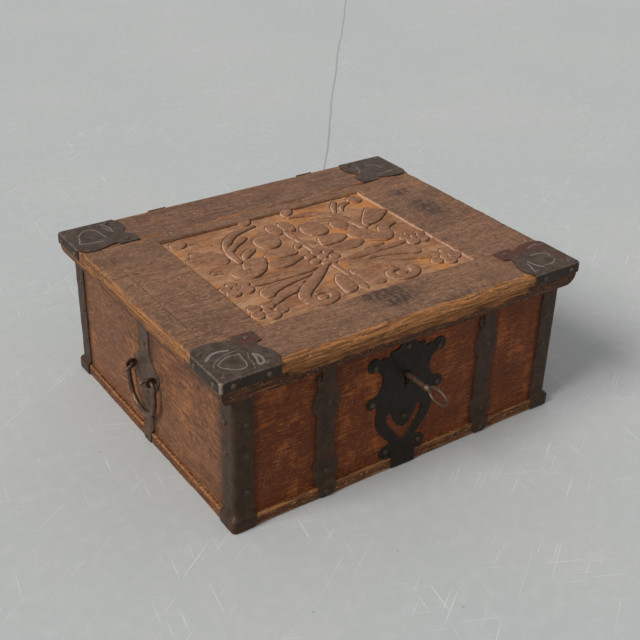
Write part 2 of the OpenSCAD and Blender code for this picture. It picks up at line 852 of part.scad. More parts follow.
module lid_plate(sx, back) {
    flange_z = lid_z + 0.8;
    flange_h = lid_top + plate_t - flange_z;
    color(iron) difference() {
        corner(sx, back) {
            translate([0, 0, lid_top]) linear_extrude(plate_t) plate_outline();
            translate([-plate_t, -plate_t, flange_z]) cube([plate_u - 6 + plate_t, plate_t, flange_h]);
            translate([-plate_t, -plate_t, flange_z]) cube([plate_t, plate_v - 10 + plate_t, flange_h]);
        }
        at_lid_nails() nail_hole();
    }
}

// Staple on the lid: a plate and a long loop whose hole runs along X
module lid_staple() {
    loop_low = key_z + staple_toe;
    plate_l = 36;
    color(iron) difference() {
        union() {
            translate([lock_x + staple_x - plate_l / 2, bolt_mid_y - loop_w / 2 - 1, lid_z - iron_t])
                cube([plate_l, loop_w + 2, iron_t]);
            translate([lock_x + staple_x - staple_w / 2, bolt_mid_y - loop_w / 2, loop_low])
                cube([staple_w, loop_w, lid_z - loop_low - iron_t / 2]);
        }
        translate([lock_x + staple_x - staple_w, bolt_mid_y - loop_w / 2 + staple_leg, loop_low + 3.5])
            cube([2 * staple_w, loop_w - 2 * staple_leg, bolt_bar_h + 4]);
        at_lid_nails() nail_hole();
    }
}

module body_nails() {
    color(iron) at_body_nails() nail();
}

module board_nails() {
    color(iron) at_board_nails() board_nail(0);
}

module lid_nails() {
    color(iron) at_lid_nails() nail();
}

base_board();
front_board();
back_board();
side_board(-1);  // left_board
side_board(1);  // right_board
corner_iron(-1, -1);  // corner_iron_front_left
corner_iron(1, -1);  // corner_iron_front_right
corner_iron(-1, 1);  // corner_iron_back_left
corner_iron(1, 1);  // corner_iron_back_right
front_strap(-strap_left);  // front_strap_left
front_strap(strap_right);  // front_strap_right
side_strap(-1);  // side_strap_left
side_strap(1);  // side_strap_right
hinge_strap(-strap_left);  // hinge_strap_left
hinge_strap(strap_right);  // hinge_strap_right
hinge_pin(-strap_left);  // hinge_pin_left
hinge_pin(strap_right);  // hinge_pin_right
lock_plate();
lock_case();
bolt_spring();
handle_eyes(-1);  // handle_eyes_left
handle_eyes(1);  // handle_eyes_right
body_nails();
board_nails();
lid_board();
lid_back_board();
lid_moulding_front();
lid_moulding_side(-1);  // lid_moulding_left
lid_moulding_side(1);  // lid_moulding_right
lid_plate(-1, 0);  // lid_plate_front_left
lid_plate(1, 0);  // lid_plate_front_right
lid_plate(-1, 1);  // lid_plate_back_left
lid_plate(1, 1);  // lid_plate_back_right
hinge_leaf(-strap_left);  // hinge_leaf_left
hinge_leaf(strap_right);  // hinge_leaf_right
lid_staple();
lid_nails();
lock_bolt();
key();
bail(-1);  // handle_left
bail(1);  // handle_right
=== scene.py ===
# %% [markdown]
# # A small old chest with a carved lid and iron mounts
# The imported frame gives every board, iron and nail its place. This lesson dresses it: worn oak,
# hammered sheet iron and a carved lid, all worked out with numpy as surfaces and given
# procedural materials. First the frame is loaded.

# %% Load the frame
import bmesh
import bpy
import numpy as np
from mathutils import Matrix, Vector
from mathutils.geometry import delaunay_2d_cdt


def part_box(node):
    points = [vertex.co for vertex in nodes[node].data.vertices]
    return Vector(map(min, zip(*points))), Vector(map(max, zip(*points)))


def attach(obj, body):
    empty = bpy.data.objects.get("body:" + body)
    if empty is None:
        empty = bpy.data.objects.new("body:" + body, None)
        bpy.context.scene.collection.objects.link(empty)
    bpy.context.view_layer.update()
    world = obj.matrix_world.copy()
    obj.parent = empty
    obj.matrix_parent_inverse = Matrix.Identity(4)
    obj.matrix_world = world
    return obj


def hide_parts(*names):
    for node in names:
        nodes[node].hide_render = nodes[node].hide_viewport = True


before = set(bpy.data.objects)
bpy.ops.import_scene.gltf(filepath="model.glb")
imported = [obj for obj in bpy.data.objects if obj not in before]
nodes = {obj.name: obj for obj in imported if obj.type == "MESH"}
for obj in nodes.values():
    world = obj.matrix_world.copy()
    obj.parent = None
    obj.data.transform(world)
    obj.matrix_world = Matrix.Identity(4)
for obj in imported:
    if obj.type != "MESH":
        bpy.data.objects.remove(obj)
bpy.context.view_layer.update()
MM = 0.001

# %% [markdown]
# ## Sizes
# The planes that several pieces share are read off the frame's own boxes, in millimetres, so that
# every new surface lies where the frame says. Only the thickness of the sheet iron is typed.


# %% Shared planes
def span(node):
    """Lowest and highest corner of a frame node, in millimetres."""
    low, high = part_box(node)
    return np.array(low) / MM, np.array(high) / MM


IRON = 1.5
wall_low, wall_high = span("front_board")
front_y, wall_x, base_top = wall_low[1], wall_high[0], wall_low[2]
ledge = span("base_board")[1][0] - wall_x
strip_low, strip_high = span("lid_back_board")
lid_x, lid_front, lid_back = strip_high[0], span("lid_board")[0][1], strip_high[1]
lid_z, lid_top, joint_y = strip_low[2], strip_high[2], span("lid_board")[1][1]
strap_low, strap_high = span("front_strap_left")
foot_z, strap_top = strap_low[2], strap_high[2]
strap_x = [sum(span("front_strap_" + side))[0] / 2 for side in ("left", "right")]
print(f"walls to x {wall_x:.1f} and y {front_y:.1f}, lid from y {lid_front:.1f} to {lid_back:.1f},",
      f"top at {lid_top:.1f} mm")

# %% [markdown]
# ## Camera
# The photograph looks down on the front left corner with a lens of normal length. Its place was
# found by fitting a pin-hole camera to the edges of the box and the lid, so the numbers are given as
# that fit left them: a target, a distance, two angles and a small roll about the line of sight.


# %% Camera
def toward(azimuth, elevation):
    """Unit vector at an azimuth from the front, positive to the right, and an elevation, in degrees."""
    az, el = np.radians([azimuth, elevation])
    return np.array([np.sin(az) * np.cos(el), -np.cos(az) * np.cos(el), np.sin(el)])


def place(name, data):
    """Puts a lamp, camera or mesh into the scene as an object."""
    holder = bpy.data.objects.new(name, data)
    bpy.context.scene.collection.objects.link(holder)
    return holder


def look(target, back, roll, distance, lens):
    """Puts a camera at a distance from target along the direction back, then rolls it about that."""
    side = np.cross([0, 0, 1], back)
    side /= np.linalg.norm(side)
    over, turn = np.cross(back, side), np.radians(roll)
    right, up = np.cos(turn) * side + np.sin(turn) * over, np.cos(turn) * over - np.sin(turn) * side
    camera = bpy.data.cameras.new("camera")
    camera.lens, camera.sensor_width = lens, 36
    pose = Matrix([[*row] for row in np.column_stack([right, up, back, np.array(target) + distance * back])])
    pose.resize_4x4()
    holder = place("camera", camera)
    holder.matrix_world = pose
    bpy.context.scene.camera = holder
    print("camera at", [round(number, 3) for number in pose.translation], "m")


look(target=(0.0229, 0.01417, 0.070), back=toward(-35.24, 30.07), roll=1.53, distance=1.20016, lens=60.0)
bpy.context.scene.view_settings.view_transform = "Standard"

# %% [markdown]
# ## Node helper
# Every material, and the world too, is a tree of nodes. One small class makes nodes and links them
# in a single call, and has short names for the few steps that every finish here is made of: a sum,
# a product, a soft step and a stack of colours laid over one another by masks.


# %% Colours and nodes
def tint(red, green, blue):
    """A colour given as it looks on a screen, 0 to 255, turned into the linear values that the
    shaders use: ((c + 0.055) / 1.055) to the power 2.4, or c / 12.92 near black."""
    c = np.array([red, green, blue]) / 255
    return (*np.where(c > 0.04045, ((c + 0.055) / 1.055) ** 2.4, c / 12.92).tolist(), 1.0)


def darker(colour, share):
    """A colour with its linear values multiplied by share."""
    return tuple(share * c for c in colour[:3]) + (1.0,)


class Nodes:
    """Makes nodes in the tree owner. Names in small letters are properties of the node, the others are
    its sockets. What is given for a socket is a node or an output to be linked, or a plain value."""

    def __init__(self, owner):
        self.owner = owner

    def __call__(self, kind, *sources, **values):
        node = self.owner.nodes.new("ShaderNode" + kind)
        self.fill(node, **values)
        for number, source in enumerate(sources):
            self.set(node.inputs[number], source)
        return node

    def set(self, socket, source):
        """Links a node's first output or a socket, or sets the value."""
        if isinstance(source, bpy.types.Node):
            source = source.outputs[0]
        if isinstance(source, bpy.types.NodeSocket):
            self.owner.links.new(source, socket)
        else:
            socket.default_value = source

    def fill(self, node, **values):
        """Sets properties and sockets of a node by their names."""
        for key, value in values.items():
            if key.islower():
                setattr(node, key, value)
            else:
                self.set(node.inputs[key.replace("_", " ")], value)

    def math(self, operation, *sources):
        """One step of arithmetic."""
        return self("Math", *sources, operation=operation)

    def noise(self, where, scale, detail, roughness=0.5):
        """Noise at the points of where, with its scale, detail and roughness."""
        return self("TexNoise", where, Scale=scale, Detail=detail, Roughness=roughness)

    def total(self, *parts):
        """The sum of sources times weights, given as pairs."""
        result = self.math("MULTIPLY", *parts[0])
        for source, weight in parts[1:]:
            result = self.math("MULTIPLY_ADD", source, weight, result)
        return result

    def curve(self, source, low, high, flip=False):
        """Cuts a value to 0 below low and 1 above high, with a smooth step between; flip swaps 0 and 1."""
        return self("MapRange", source, low, high, *((1, 0) if flip else ()), interpolation_type="SMOOTHSTEP")

    def mix(self, factor, first, second):
        """Blends two colours. A Mix node takes them at sockets 6 and 7 and gives the blend at output 2."""
        node = self("Mix", factor, data_type="RGBA")
        self.set(node.inputs[6], first)
        self.set(node.inputs[7], second)
        return node.outputs[2]

    def paint(self, colour, *layers):
        """Lays layers over a colour. Each is a mask, a colour and how much of it shows at most."""
        for mask, top, share in layers:
            colour = self.mix(self.math("MULTIPLY", mask, share), colour, top)
        return colour

    def mark(self, label):
        """The number that a mesh carries on its points under this label."""
        return self("Attribute", attribute_name=label).outputs["Fac"]

    def along(self, axis, vector):
        """One component of a vector."""
        return self("SeparateXYZ", vector).outputs[axis]


def new_material(name):
    """A material, its node maker, its shader and the object's own coordinates."""
    material = bpy.data.materials.new(name)
    material.use_nodes = True
    add = Nodes(material.node_tree)
    return material, add, material.node_tree.nodes["Principled BSDF"], add("TexCoord").outputs["Object"]


# %% [markdown]
# ## Light
# The photograph has a broad soft light high up on the left, a little behind the chest, and a pale
# grey studio all round. A sun lamp with a wide angle gives that soft light evenly over the whole floor,
# and the world lights the rest. What the camera and the reflections see of the world is a plain grey.


# %% Lamp and world
def lights():
    """A wide sun from the left and a world that looks plain to camera, reflections and glass."""
    lamp = bpy.data.lights.new("window", "SUN")
    lamp.energy, lamp.angle = 2.4, np.radians(26)
    aim = Vector(toward(azimuth=-90, elevation=42))
    place("window", lamp).rotation_euler = aim.to_track_quat("Z", "Y").to_euler()
    world = bpy.data.worlds.new("studio")
    bpy.context.scene.world = world
    world.use_nodes = True
    world.node_tree.nodes.clear()
    add = Nodes(world.node_tree)
    rays = add("LightPath").outputs
    seen = add.math("MAXIMUM", rays["Is Glossy Ray"], rays["Is Transmission Ray"])
    seen = add.math("MAXIMUM", rays["Is Camera Ray"], seen)
    glow = add("Background", Color=tint(250, 251, 255), Strength=0.43)
    plain = add("Background", Color=tint(182, 182, 182), Strength=1.0)
    add("OutputWorld", add("MixShader", seen, glow, plain))


lights()

# %% [markdown]
# ## Shared finishes
# Every wooden piece has the same oak grain and every iron piece the same forged skin, so these are
# node groups, built once and placed in each material with its own values. Grain on real oak is a
# bundle of long fibres: noise that is stretched along the board gives streaks, a wider noise the
# growth rings, and a thin, sharply cut one the dark open pores.


# %% Oak grain group
def new_group(name, inputs, outputs):
    """A shader node group with a vector and some numbers as inputs, given with their defaults, and
    numbers as outputs. Returns its node maker, the given sockets and the node that takes the results."""
    group = bpy.data.node_groups.new(name, "ShaderNodeTree")
    group.interface.new_socket("Vector", in_out="INPUT", socket_type="NodeSocketVector")
    for label, value in inputs.items():
        group.interface.new_socket(label, in_out="INPUT", socket_type="NodeSocketFloat").default_value = value
    for label in outputs:
        group.interface.new_socket(label, in_out="OUTPUT", socket_type="NodeSocketFloat")
    return Nodes(group), group.nodes.new("NodeGroupInput").outputs, group.nodes.new("NodeGroupOutput")


def oak_grain():
    """The grain runs along X in the plane of X and Y. Puts out broad rings, fine fibres, dark pores, pale
    flecks and a height. Each is noise pulled long in X; the rings are thin in Z, as layers are in a board."""
    outputs = ["Rings", "Fibres", "Pores", "Flecks", "Height"]
    add, given, results = new_group("oak_grain", {"Seed": 0.0}, outputs)
    shift = add("CombineXYZ", X=given["Seed"], Z=given["Seed"])
    moved = add("VectorMath", given["Vector"], shift, operation="ADD")
    sway = add.noise(moved, 9.0, 2.0).outputs["Color"]
    bent = add("VectorMath", sway, (0.0, 0.030, 0.012), moved, operation="MULTIPLY_ADD")

    def streaks(stretch, detail, low, high):
        """Noise in the bent grain, squeezed by stretch and cut off below low and above high."""
        pulled = add("VectorMath", bent, stretch, operation="MULTIPLY")
        return add.curve(add.noise(pulled, 1.0, detail, 0.6), low, high)

    rings = streaks((6.0, 190.0, 420.0), 4.0, 0.34, 0.66)
    fibres = streaks((22.0, 480.0, 560.0), 5.0, 0.34, 0.68)
    pores = streaks((80.0, 800.0, 900.0), 1.0, 0.63, 0.72)
    flecks = streaks((240.0, 640.0, 640.0), 2.0, 0.62, 0.70)
    add.fill(results, Rings=rings, Fibres=fibres, Pores=pores, Flecks=flecks,
             Height=add.total((fibres, 1), (pores, -0.9), (rings, 0.5)))
    return add.owner


# %% [markdown]
# Scratches on the boards and on the studio floor are one effect at two sizes. Drawing each line as
# geometry would be slow and stiff; noise pulled fifty times as long as wide gives them for nothing.


# %% Scratch group
def scratches():
    """Thin lines in three directions of the plane of X and Y: noise that is turned, pulled very long, and cut
    off where it is nearly at its highest, then kept only in patches."""
    add, given, results = new_group("scratches", {"Scale": 10.0}, ["Mask"])
    size = add("VectorMath", given["Vector"], operation="SCALE", Scale=given["Scale"])
    lines = 0.0
    for angle, shift in ((0.45, 3.1), (1.75, 7.7), (2.55, 12.3)):
        turned = add("VectorRotate", size, rotation_type="Z_AXIS", Angle=angle)
        pulled = add("VectorMath", turned, (1.1, 52.0, 1.1), (shift, shift, shift), operation="MULTIPLY_ADD")
        lines = add.math("MAXIMUM", lines, add.curve(add.noise(pulled, 1.0, 1.0), 0.70, 0.74))
    add.fill(results, Mask=add.math("MULTIPLY", lines, add.curve(add.noise(size, 0.9, 2.0), 0.42, 0.60)))
    return add.owner


# %% [markdown]
# Wear is where hands and floors rub: along the edges. The Bevel node gives the normal that a
# rounded edge would have, so where it turns away from the true normal there is an edge. Broken up
# with noise, that difference is a mask for any piece, whatever its shape.


# %% Edge wear group
def edge_wear():
    """One minus the dot product of the true and the rounded normal, scaled, and cut by noise."""
    add, given, results = new_group("edge_wear", {"Width": 0.002, "Patch Size": 60.0}, ["Mask"])
    rounded, flat = add("Bevel", given["Width"], samples=6), add("NewGeometry").outputs["Normal"]
    turn = add("VectorMath", rounded, flat, operation="DOT_PRODUCT").outputs["Value"]
    broken = add.curve(add.noise(given["Vector"], given["Patch Size"], 4.0, 0.6), 0.36, 0.60)
    add.fill(results, Mask=add.math("MULTIPLY", add.curve(turn, 0.80, 0.985, flip=True), broken))
    return add.owner


# %% Forged skin group
def forged_skin():
    """Sheet iron from the hammer: broad dents, small pits where rust has eaten, and rust patches."""
    add, given, results = new_group("forged_skin", {"Rust": 0.5}, ["Dents", "Pits", "Rust Mask", "Height"])
    dents = add.noise(given["Vector"], 120.0, 2.0)
    pits = add.curve(add.noise(given["Vector"], 900.0, 3.0, 0.7), 0.52, 0.66)
    patch = add.total((add.noise(given["Vector"], 55.0, 6.0, 0.68), 1), (given["Rust"], 0.28))
    add.fill(results, Dents=dents, Pits=pits, Rust_Mask=add.curve(patch, 0.60, 0.76),
             Height=add.total((dents, 1), (pits, -0.22)))
    return add.owner


GRAIN, SCRATCH, WEAR, SKIN = oak_grain(), scratches(), edge_wear(), forged_skin()
print("groups:", {group.name: len(group.nodes) for group in (GRAIN, SCRATCH, WEAR, SKIN)})

# %% [markdown]
# ## Floor
# The studio floor is pale cement, scratched by use, with one old crack that runs away from the chest.
# It is only there for the picture, so it is staged and isn't part of the chest.

# %% Floor
CRACK, CRACK_OFFSET = (0.7943, -0.6076, 0.0), 0.0055
FLOOR_REACH = 6.0


def floor_material():
    """Pale grey cement: faint clouds, thin pale scratches in all directions, small dark specks and one old
    crack, which is where the distance to a straight line, bent by noise, is about a millimetre."""
    material, add, shader, where = new_material("floor_cement")
    cloud, fine = add.noise(where, 2.6, 6.0), add.noise(where, 70.0, 4.0)
    specks = add.curve(add("TexVoronoi", where, Scale=24.0), 0.02, 0.045, True)
    across = add("VectorMath", where, CRACK, operation="DOT_PRODUCT").outputs["Value"]
    offset = add.math("ADD", add.total((across, 1), (cloud, 0.02)), CRACK_OFFSET)
    line = add.curve(add.math("ABSOLUTE", offset), 0.0006, 0.0024, True)
    behind = add.curve(add.along("Y", where), 0.2, 0.5)
    coarse, thin = (add("Group", node_tree=SCRATCH, Vector=where, Scale=scale) for scale in (11.0, 23.0))
    colour = add.paint(add.mix(add.curve(cloud, 0.3, 0.7), tint(185, 188, 185), tint(190, 191, 188)),
                       (add.curve(fine, 0.4, 0.75), tint(202, 202, 200), 0.3),
                       (coarse, tint(222, 223, 221), 0.6), (thin, tint(210, 211, 210), 0.30),
                       (specks, tint(150, 148, 142), 0.5),
                       (add.math("MULTIPLY", line, behind), tint(120, 120, 120), 0.5))
    add.fill(shader, Base_Color=colour, Normal=add("Bump", Strength=0.15, Distance=0.001, Height=fine),
             Roughness=0.62, Specular_IOR_Level=0.3)
    return material


corners = [(x * FLOOR_REACH, y * FLOOR_REACH, 0) for x, y in ((-1, -1), (1, -1), (1, 1), (-1, 1))]
mesh = bpy.data.meshes.new("floor")
mesh.from_pydata(corners, [], [(0, 1, 2, 3)])
mesh.materials.append(floor_material())
place("floor", mesh)

# %% [markdown]
# ## Oak
# The boards were waxed and handled for two centuries. They are dark where dirt lies in the grain and
# orange where it is rubbed away. Each board's colour is mixed in layers: broad tone, fibres, rubbed warm
# patches, dark stains, pores, pale flecks of dust, scratches, worm holes, and the rubbed edges last.
# Every face is turned so that its grain runs along X and its own plane is that of X and Y.

# %% Oak material
HALF = np.pi / 2
FLAT, FRONT, SIDE_ON, ALONG_Y = (0, 0, 0), (-HALF, 0, 0), (-HALF, -HALF, 0), (0, 0, -HALF)
END_GRAIN = (0.2065, 0.2085)
MATT = 0.16


def oak(name, palette, turn=FLAT, seed=0.0, warmth=(0.52, 0.66), share=0.8, worn=0.8, stretch=(0.55, 1, 1),
        scored=0.4, lined=0.3, grainy=0.6, irons=(), marked=False, carved=False):
    """Old oak from a palette of deep and mid tone, warm patches, pale flecks and rubbed edge. The wood is
    darker beside irons, each given as its middle and half width along an axis. A marked piece reads its own
    rub. A carved board also reads field, raised, hollow, slope and stain: dirt lies in the hollows and
    painted shade on the slopes that face away from the light, dust in the hollows and a pale painted
    highlight on the slopes that face it, and its rubbed ends are split."""
    deep, mid, warm, pale, edge = (tint(*colour) for colour in palette)
    material, add, shader, where = new_material(name)
    face = add("Mapping", where, Rotation=turn, Location=(seed * 0.37, seed * 0.21, 0))
    grain = add("Group", node_tree=GRAIN, Vector=face, Seed=seed).outputs
    scratch = add("Group", node_tree=SCRATCH, Vector=face, Scale=26.0)
    rings, fibres, pores = grain["Rings"], grain["Fibres"], grain["Pores"]

    def pulled(stretch, scale, detail, roughness):
        """Noise that is longer along the grain."""
        return add.noise(add("Mapping", face, Scale=stretch), scale, detail, roughness)

    broad, patch = pulled((0.6, 1, 1), 11.0, 4.0, 0.55), pulled(stretch, 30.0, 8.0, 0.74)
    spots, grit = pulled((0.7, 1, 1), 170.0, 4.0, 0.65), pulled((0.5, 1, 1), 420.0, 3.0, 0.7)
    tone = add.total((broad, 0.8), (rings, lined), (fibres, 0.7 * grainy), (spots, 0.5), (grit, 1.1))
    middle = 1.20 + 0.5 * lined + 0.35 * grainy
    warmed = add.total((patch, 1), (fibres, 0.12), (spots, 0.2))
    stained = add.curve(add.total((broad, 1), (spots, 0.3)), 0.70, 0.86)
    seam = add.curve(add.total((rings, 1), (spots, 0.2)), 0.10, 0.26, True)
    dusty = add.math("MULTIPLY", grain["Flecks"], add.curve(spots, 0.38, 0.56))
    colour = add.paint(add.mix(add.curve(tone, middle - 0.36, middle + 0.36), deep, mid),
                       (add.curve(warmed, warmth[0] + 0.16, warmth[1] + 0.16), warm, share),
                       (stained, darker(deep, 0.55), 0.6), (seam, darker(deep, 0.6), lined),
                       (pores, darker(deep, 0.5), 0.8 * grainy), (dusty, pale, 0.25 + grainy),
                       (scratch, pale, scored), (add.curve(grit, 0.60, 0.70), pale, 0.5 * (0.2 + grainy)),
                       (add.curve(grit, 0.30, 0.38, True), darker(deep, 0.5), 0.9 * (0.2 + grainy)))
    for middle_at, half in irons[1:]:
        offset = add.total((add.along(irons[0], where), 1), (spots, 0.006))
        offset = add.math("ABSOLUTE", add.math("SUBTRACT", offset, middle_at + 0.003))
        colour = add.paint(colour, (add.curve(offset, half, half + 0.009, True), darker(deep, 0.5), 0.6))
    if carved:
        field, raised, hollow, slope = (add.mark(label) for label in ("field", "raised", "hollow", "slope"))
        waxed = add.curve(add.total((pulled((0.8, 1, 1), 17.0, 3.0, 0.5), 1), (spots, 0.1)), 0.56, 0.68)
        ground = add.paint(add.mix(add.curve(warmed, 0.52, 0.86), tint(144, 96, 64), tint(204, 156, 116)),
                           (waxed, tint(204, 134, 70), 0.75), (fibres, tint(120, 80, 52), 0.3))
        handled = add.mix(add.curve(tone, middle - 0.3, middle + 0.3), tint(134, 92, 66), tint(168, 122, 90))
        # Dark layer: dirt in the hollows, and painted shade on the slopes that face away from the light.
        dirt_and_painted_shade = add.curve(add.total((slope, -1), (hollow, 0.9), (spots, 0.6)), 0.6, 1.4)
        # Pale layer: dust in the hollows, and a painted highlight on the slopes that face the light.
        dust = add.curve(add.total((slope, 1), (hollow, 0.7), (spots, 0.9)), 0.78, 1.6)
        colour = add.paint(colour, (raised, handled, 0.75),
                           (add.curve(add.math("SUBTRACT", field, raised), 0.05, 0.9), ground, 1),
                           (dirt_and_painted_shade, tint(66, 38, 23), 0.85), (dust, tint(218, 178, 152), 0.66))
    if marked or carved:
        rub = add.curve(add.total((add.mark("rub"), 1), (spots, 0.5)), 0.42, 0.95)
        strata = add.curve(add.total((rings, 0.5), (fibres, 0.6)), 0.2, 0.85)
        rubbed = add.mix(strata, darker(edge, 0.36), edge)
        if carved:
            splits = add.curve(pulled((620, 16, 620), 1.0, 4.0, 0.6), 0.40, 0.60)
            at_end = add.curve(add.math("ABSOLUTE", add.along("X", where)), *END_GRAIN)
            rubbed = add.mix(at_end, rubbed, add.mix(splits, darker(edge, 0.28), edge))
        rubbed = add.paint(rubbed, (dusty, pale, 0.8), (pores, tint(58, 34, 20), 0.8))
        colour = add.paint(colour, (rub, rubbed, worn))
    if carved:
        colour = add.paint(colour, (add.mark("stain"), tint(60, 49, 46), 0.8))
    hole = add.math("MULTIPLY", add.curve(add("TexVoronoi", where, Scale=75.0), 0.050, 0.075, True),
                    add.curve(patch, 0.52, 0.56))
    colour = add.paint(colour, (hole, tint(22, 14, 9), 1))
    if not (marked or carved):
        colour = add.paint(colour, (add("Group", node_tree=WEAR, Vector=where, Width=0.0028), edge, worn))
    height = add.total((grain["Height"], 1), (scratch, -0.8), (spots, 1.2), (hole, -3.0))
    sheen = add("MapRange", add.total((patch, 1), (dusty, 0.6)), To_Min=0.39, To_Max=0.71)
    add.fill(shader, Base_Color=colour, Normal=add("Bump", Strength=0.7, Distance=0.0006, Height=height),
             Roughness=sheen, Specular_IOR_Level=MATT)
    return material


strap_irons = [(x * MM, 0.0105) for x in strap_x]
front_oak = oak("oak_front", [(90, 42, 20), (124, 64, 32), (172, 98, 48), (206, 148, 92), (170, 108, 58)],
                FRONT, seed=1.3, warmth=(0.49, 0.68), share=0.7, stretch=(0.8, 0.5, 1), lined=0.08,
                grainy=0.16, irons=("X", *strap_irons, (-0.195, 0.018), (0.195, 0.018)))
side_oak = oak("oak_sides", [(92, 58, 40), (132, 90, 64), (162, 106, 62), (200, 160, 122), (176, 124, 76)],
               SIDE_ON, seed=4.1, warmth=(0.48, 0.68), share=0.7, stretch=(0.55, 0.4, 1), scored=0.35,
               lined=0.06, grainy=0.12, irons=("Y", (-0.168, 0.020), (0.168, 0.020), (0.0025, 0.012)))
base_oak = oak("oak_base", [(76, 42, 24), (118, 72, 42), (140, 84, 46), (210, 172, 132), (180, 122, 74)],
               FRONT, seed=7.7, marked=True, worn=0.85, lined=0.2)
lid_oak = oak("oak_lid", [(100, 71, 55), (138, 101, 78), (154, 106, 72), (196, 166, 142), (176, 114, 64)],
              FLAT, seed=2.9, warmth=(0.50, 0.68), share=0.5, worn=0.9, lined=0.12, grainy=0.38, marked=True)
carved_oak = oak(
    "oak_carved_board", [(102, 73, 55), (151, 110, 83), (164, 114, 76), (208, 178, 150), (182, 121, 68)],
    FLAT, seed=3.7, warmth=(0.50, 0.68), share=0.36, worn=0.9, lined=0.12, grainy=0.28, carved=True)
mould_oak = oak("oak_moulding", [(60, 34, 20), (98, 62, 38), (140, 86, 48), (186, 138, 92), (176, 112, 60)],
                FLAT, seed=5.5, marked=True, lined=0.2)
mould_oak_side = oak(
    "oak_moulding_side", [(68, 42, 28), (106, 70, 48), (140, 88, 52), (180, 138, 98), (166, 108, 62)],
    ALONG_Y, seed=6.5, marked=True, worn=0.7, lined=0.2)

# %% [markdown]
# ## Iron
# Blackened sheet iron is not a clean metal: oxide makes it dark and matt, so most of it is modelled
# as a rough skin with only a little metal in it. Rubbed edges show brighter metal, rust shows
# red-brown, and the lid's plates keep pale dirt in their engraved lines.


# %% Iron material
def iron(name, palette, rusty, worn=0.6, rough=0.46, metal=0.08, engraved=False):
    """Forged iron from a palette of skin, dust in the hollows, rust and bright rubbed edge. An engraved
    plate reads where it is engraved, reddened and polished, and its vertical flanges are darkened with
    painted shade."""
    skin, dust, rust, bright = (tint(*colour) for colour in palette)
    material, add, shader, where = new_material(name)
    forged = add("Group", node_tree=SKIN, Vector=where, Rust=rusty).outputs
    mottle = add.noise(where, 320.0, 5.0, 0.7)
    tone = add.curve(add.total((forged["Dents"], 1), (mottle, 0.9)), 0.55, 1.35)
    colour = add.paint(add.mix(tone, skin, dust), (forged["Rust Mask"], rust, 0.75),
                       (forged["Pits"], darker(skin, 0.4), 0.45))
    wear = add("Group", node_tree=WEAR, Vector=where, Width=0.0009, Patch_Size=140.0)
    rubbed = add.math("MULTIPLY", wear, worn)
    if engraved:
        # Painted shade: faces near vertical, the flanges of the lid plates, are darkened by the way they
        # face.
        upright_painted_shade = add.curve(add.along("Z", add("NewGeometry").outputs["True Normal"]), 0.3, 0.9, True)
        red = add.curve(add.total((add.mark("reddened"), 1), (mottle, 0.5)), 0.35, 1.1)
        line = add.curve(add.total((add.mark("engraved"), 1), (mottle, 0.7)), 0.72, 1.1)
        polish = add.curve(add.total((add.mark("polished"), 1), (mottle, 0.6)), 0.45, 1.1)
        colour = add.paint(colour, (upright_painted_shade, tint(44, 33, 25), 0.75), (red, tint(92, 44, 34), 0.8),
                           (line, tint(166, 154, 144), 0.48))
        rubbed = add.total((rubbed, 1), (polish, 0.9))
    dull = add.total((forged["Rust Mask"], 1), (mottle, 0.5))
    height = add.total((forged["Height"], 1), (mottle, 0.25))
    add.fill(shader, Base_Color=add.mix(rubbed, colour, bright), Specular_IOR_Level=MATT,
             Metallic=add("MapRange", rubbed, To_Min=metal, To_Max=0.6),
             Roughness=add("MapRange", dull, To_Min=rough - 0.14, To_Max=rough + 0.28),
             Normal=add("Bump", Strength=0.55, Distance=0.0005, Height=height))
    return material


body_iron = iron("iron_box", [(50, 36, 26), (76, 57, 42), (98, 52, 32), (140, 118, 98)], 0.22)
side_iron = iron("iron_sides", [(66, 51, 40), (96, 77, 62), (104, 62, 42), (156, 136, 116)], 0.18)
lock_iron = iron("iron_lock", [(26, 21, 15), (44, 35, 26), (76, 48, 34), (110, 94, 80)], 0.05)
lid_iron = iron("iron_lid", [(54, 42, 34), (94, 78, 66), (108, 58, 42), (156, 140, 126)], 0.1, engraved=True)
nail_iron = iron("iron_nails", [(48, 38, 29), (92, 76, 62), (92, 54, 36), (184, 168, 150)], 0.12,
                 rough=0.36, metal=0.3)
lid_nail_iron = iron("iron_lid_nails", [(64, 52, 44), (112, 97, 85), (96, 56, 42), (184, 170, 156)], 0.1,
                     rough=0.36, metal=0.3)
bright_iron = iron("iron_worn", [(76, 56, 46), (116, 92, 76), (108, 64, 46), (210, 200, 190)], 0.2,
                   worn=0.9, rough=0.36, metal=0.45)
print("materials:", sorted(material.name for material in bpy.data.materials if "_" in material.name))

# %% [markdown]
# ## Surfaces from numpy
# Each new piece below is a set of points worked out as whole arrays. A few small tools are shared:
# one gives the quads of a grid, one the slow, uneven lumps of hand work, one the distance to lines,
# and one turns points and faces into a Blender piece that rides on a body of the frame.


# %% Mesh helpers
def grid_faces(rows, columns, closed=False):
    """Quads between neighbouring rows and columns; closed joins the last column to the first."""
    row, column = np.meshgrid(np.arange(rows - 1), np.arange(columns - (not closed)), indexing="ij")
    here, after = row * columns + column, row * columns + (column + 1) % columns
    return np.stack([here, after, after + columns, here + columns], -1).reshape(-1, 4)


def lumps(points, size, seed):
    """The sum of fourteen cosine waves in random directions, each about size millimetres long, scaled so
    that it mostly stays between -1 and 1."""
    rng = np.random.default_rng(seed)
    aim = rng.normal(size=(points.shape[-1], 14))
    aim *= 2 * np.pi / size * rng.uniform(0.6, 1.5, 14) / np.linalg.norm(aim, axis=0)
    return np.cos(points @ aim + rng.uniform(0, 2 * np.pi, 14)).sum(-1) / 14**0.5 * 0.8


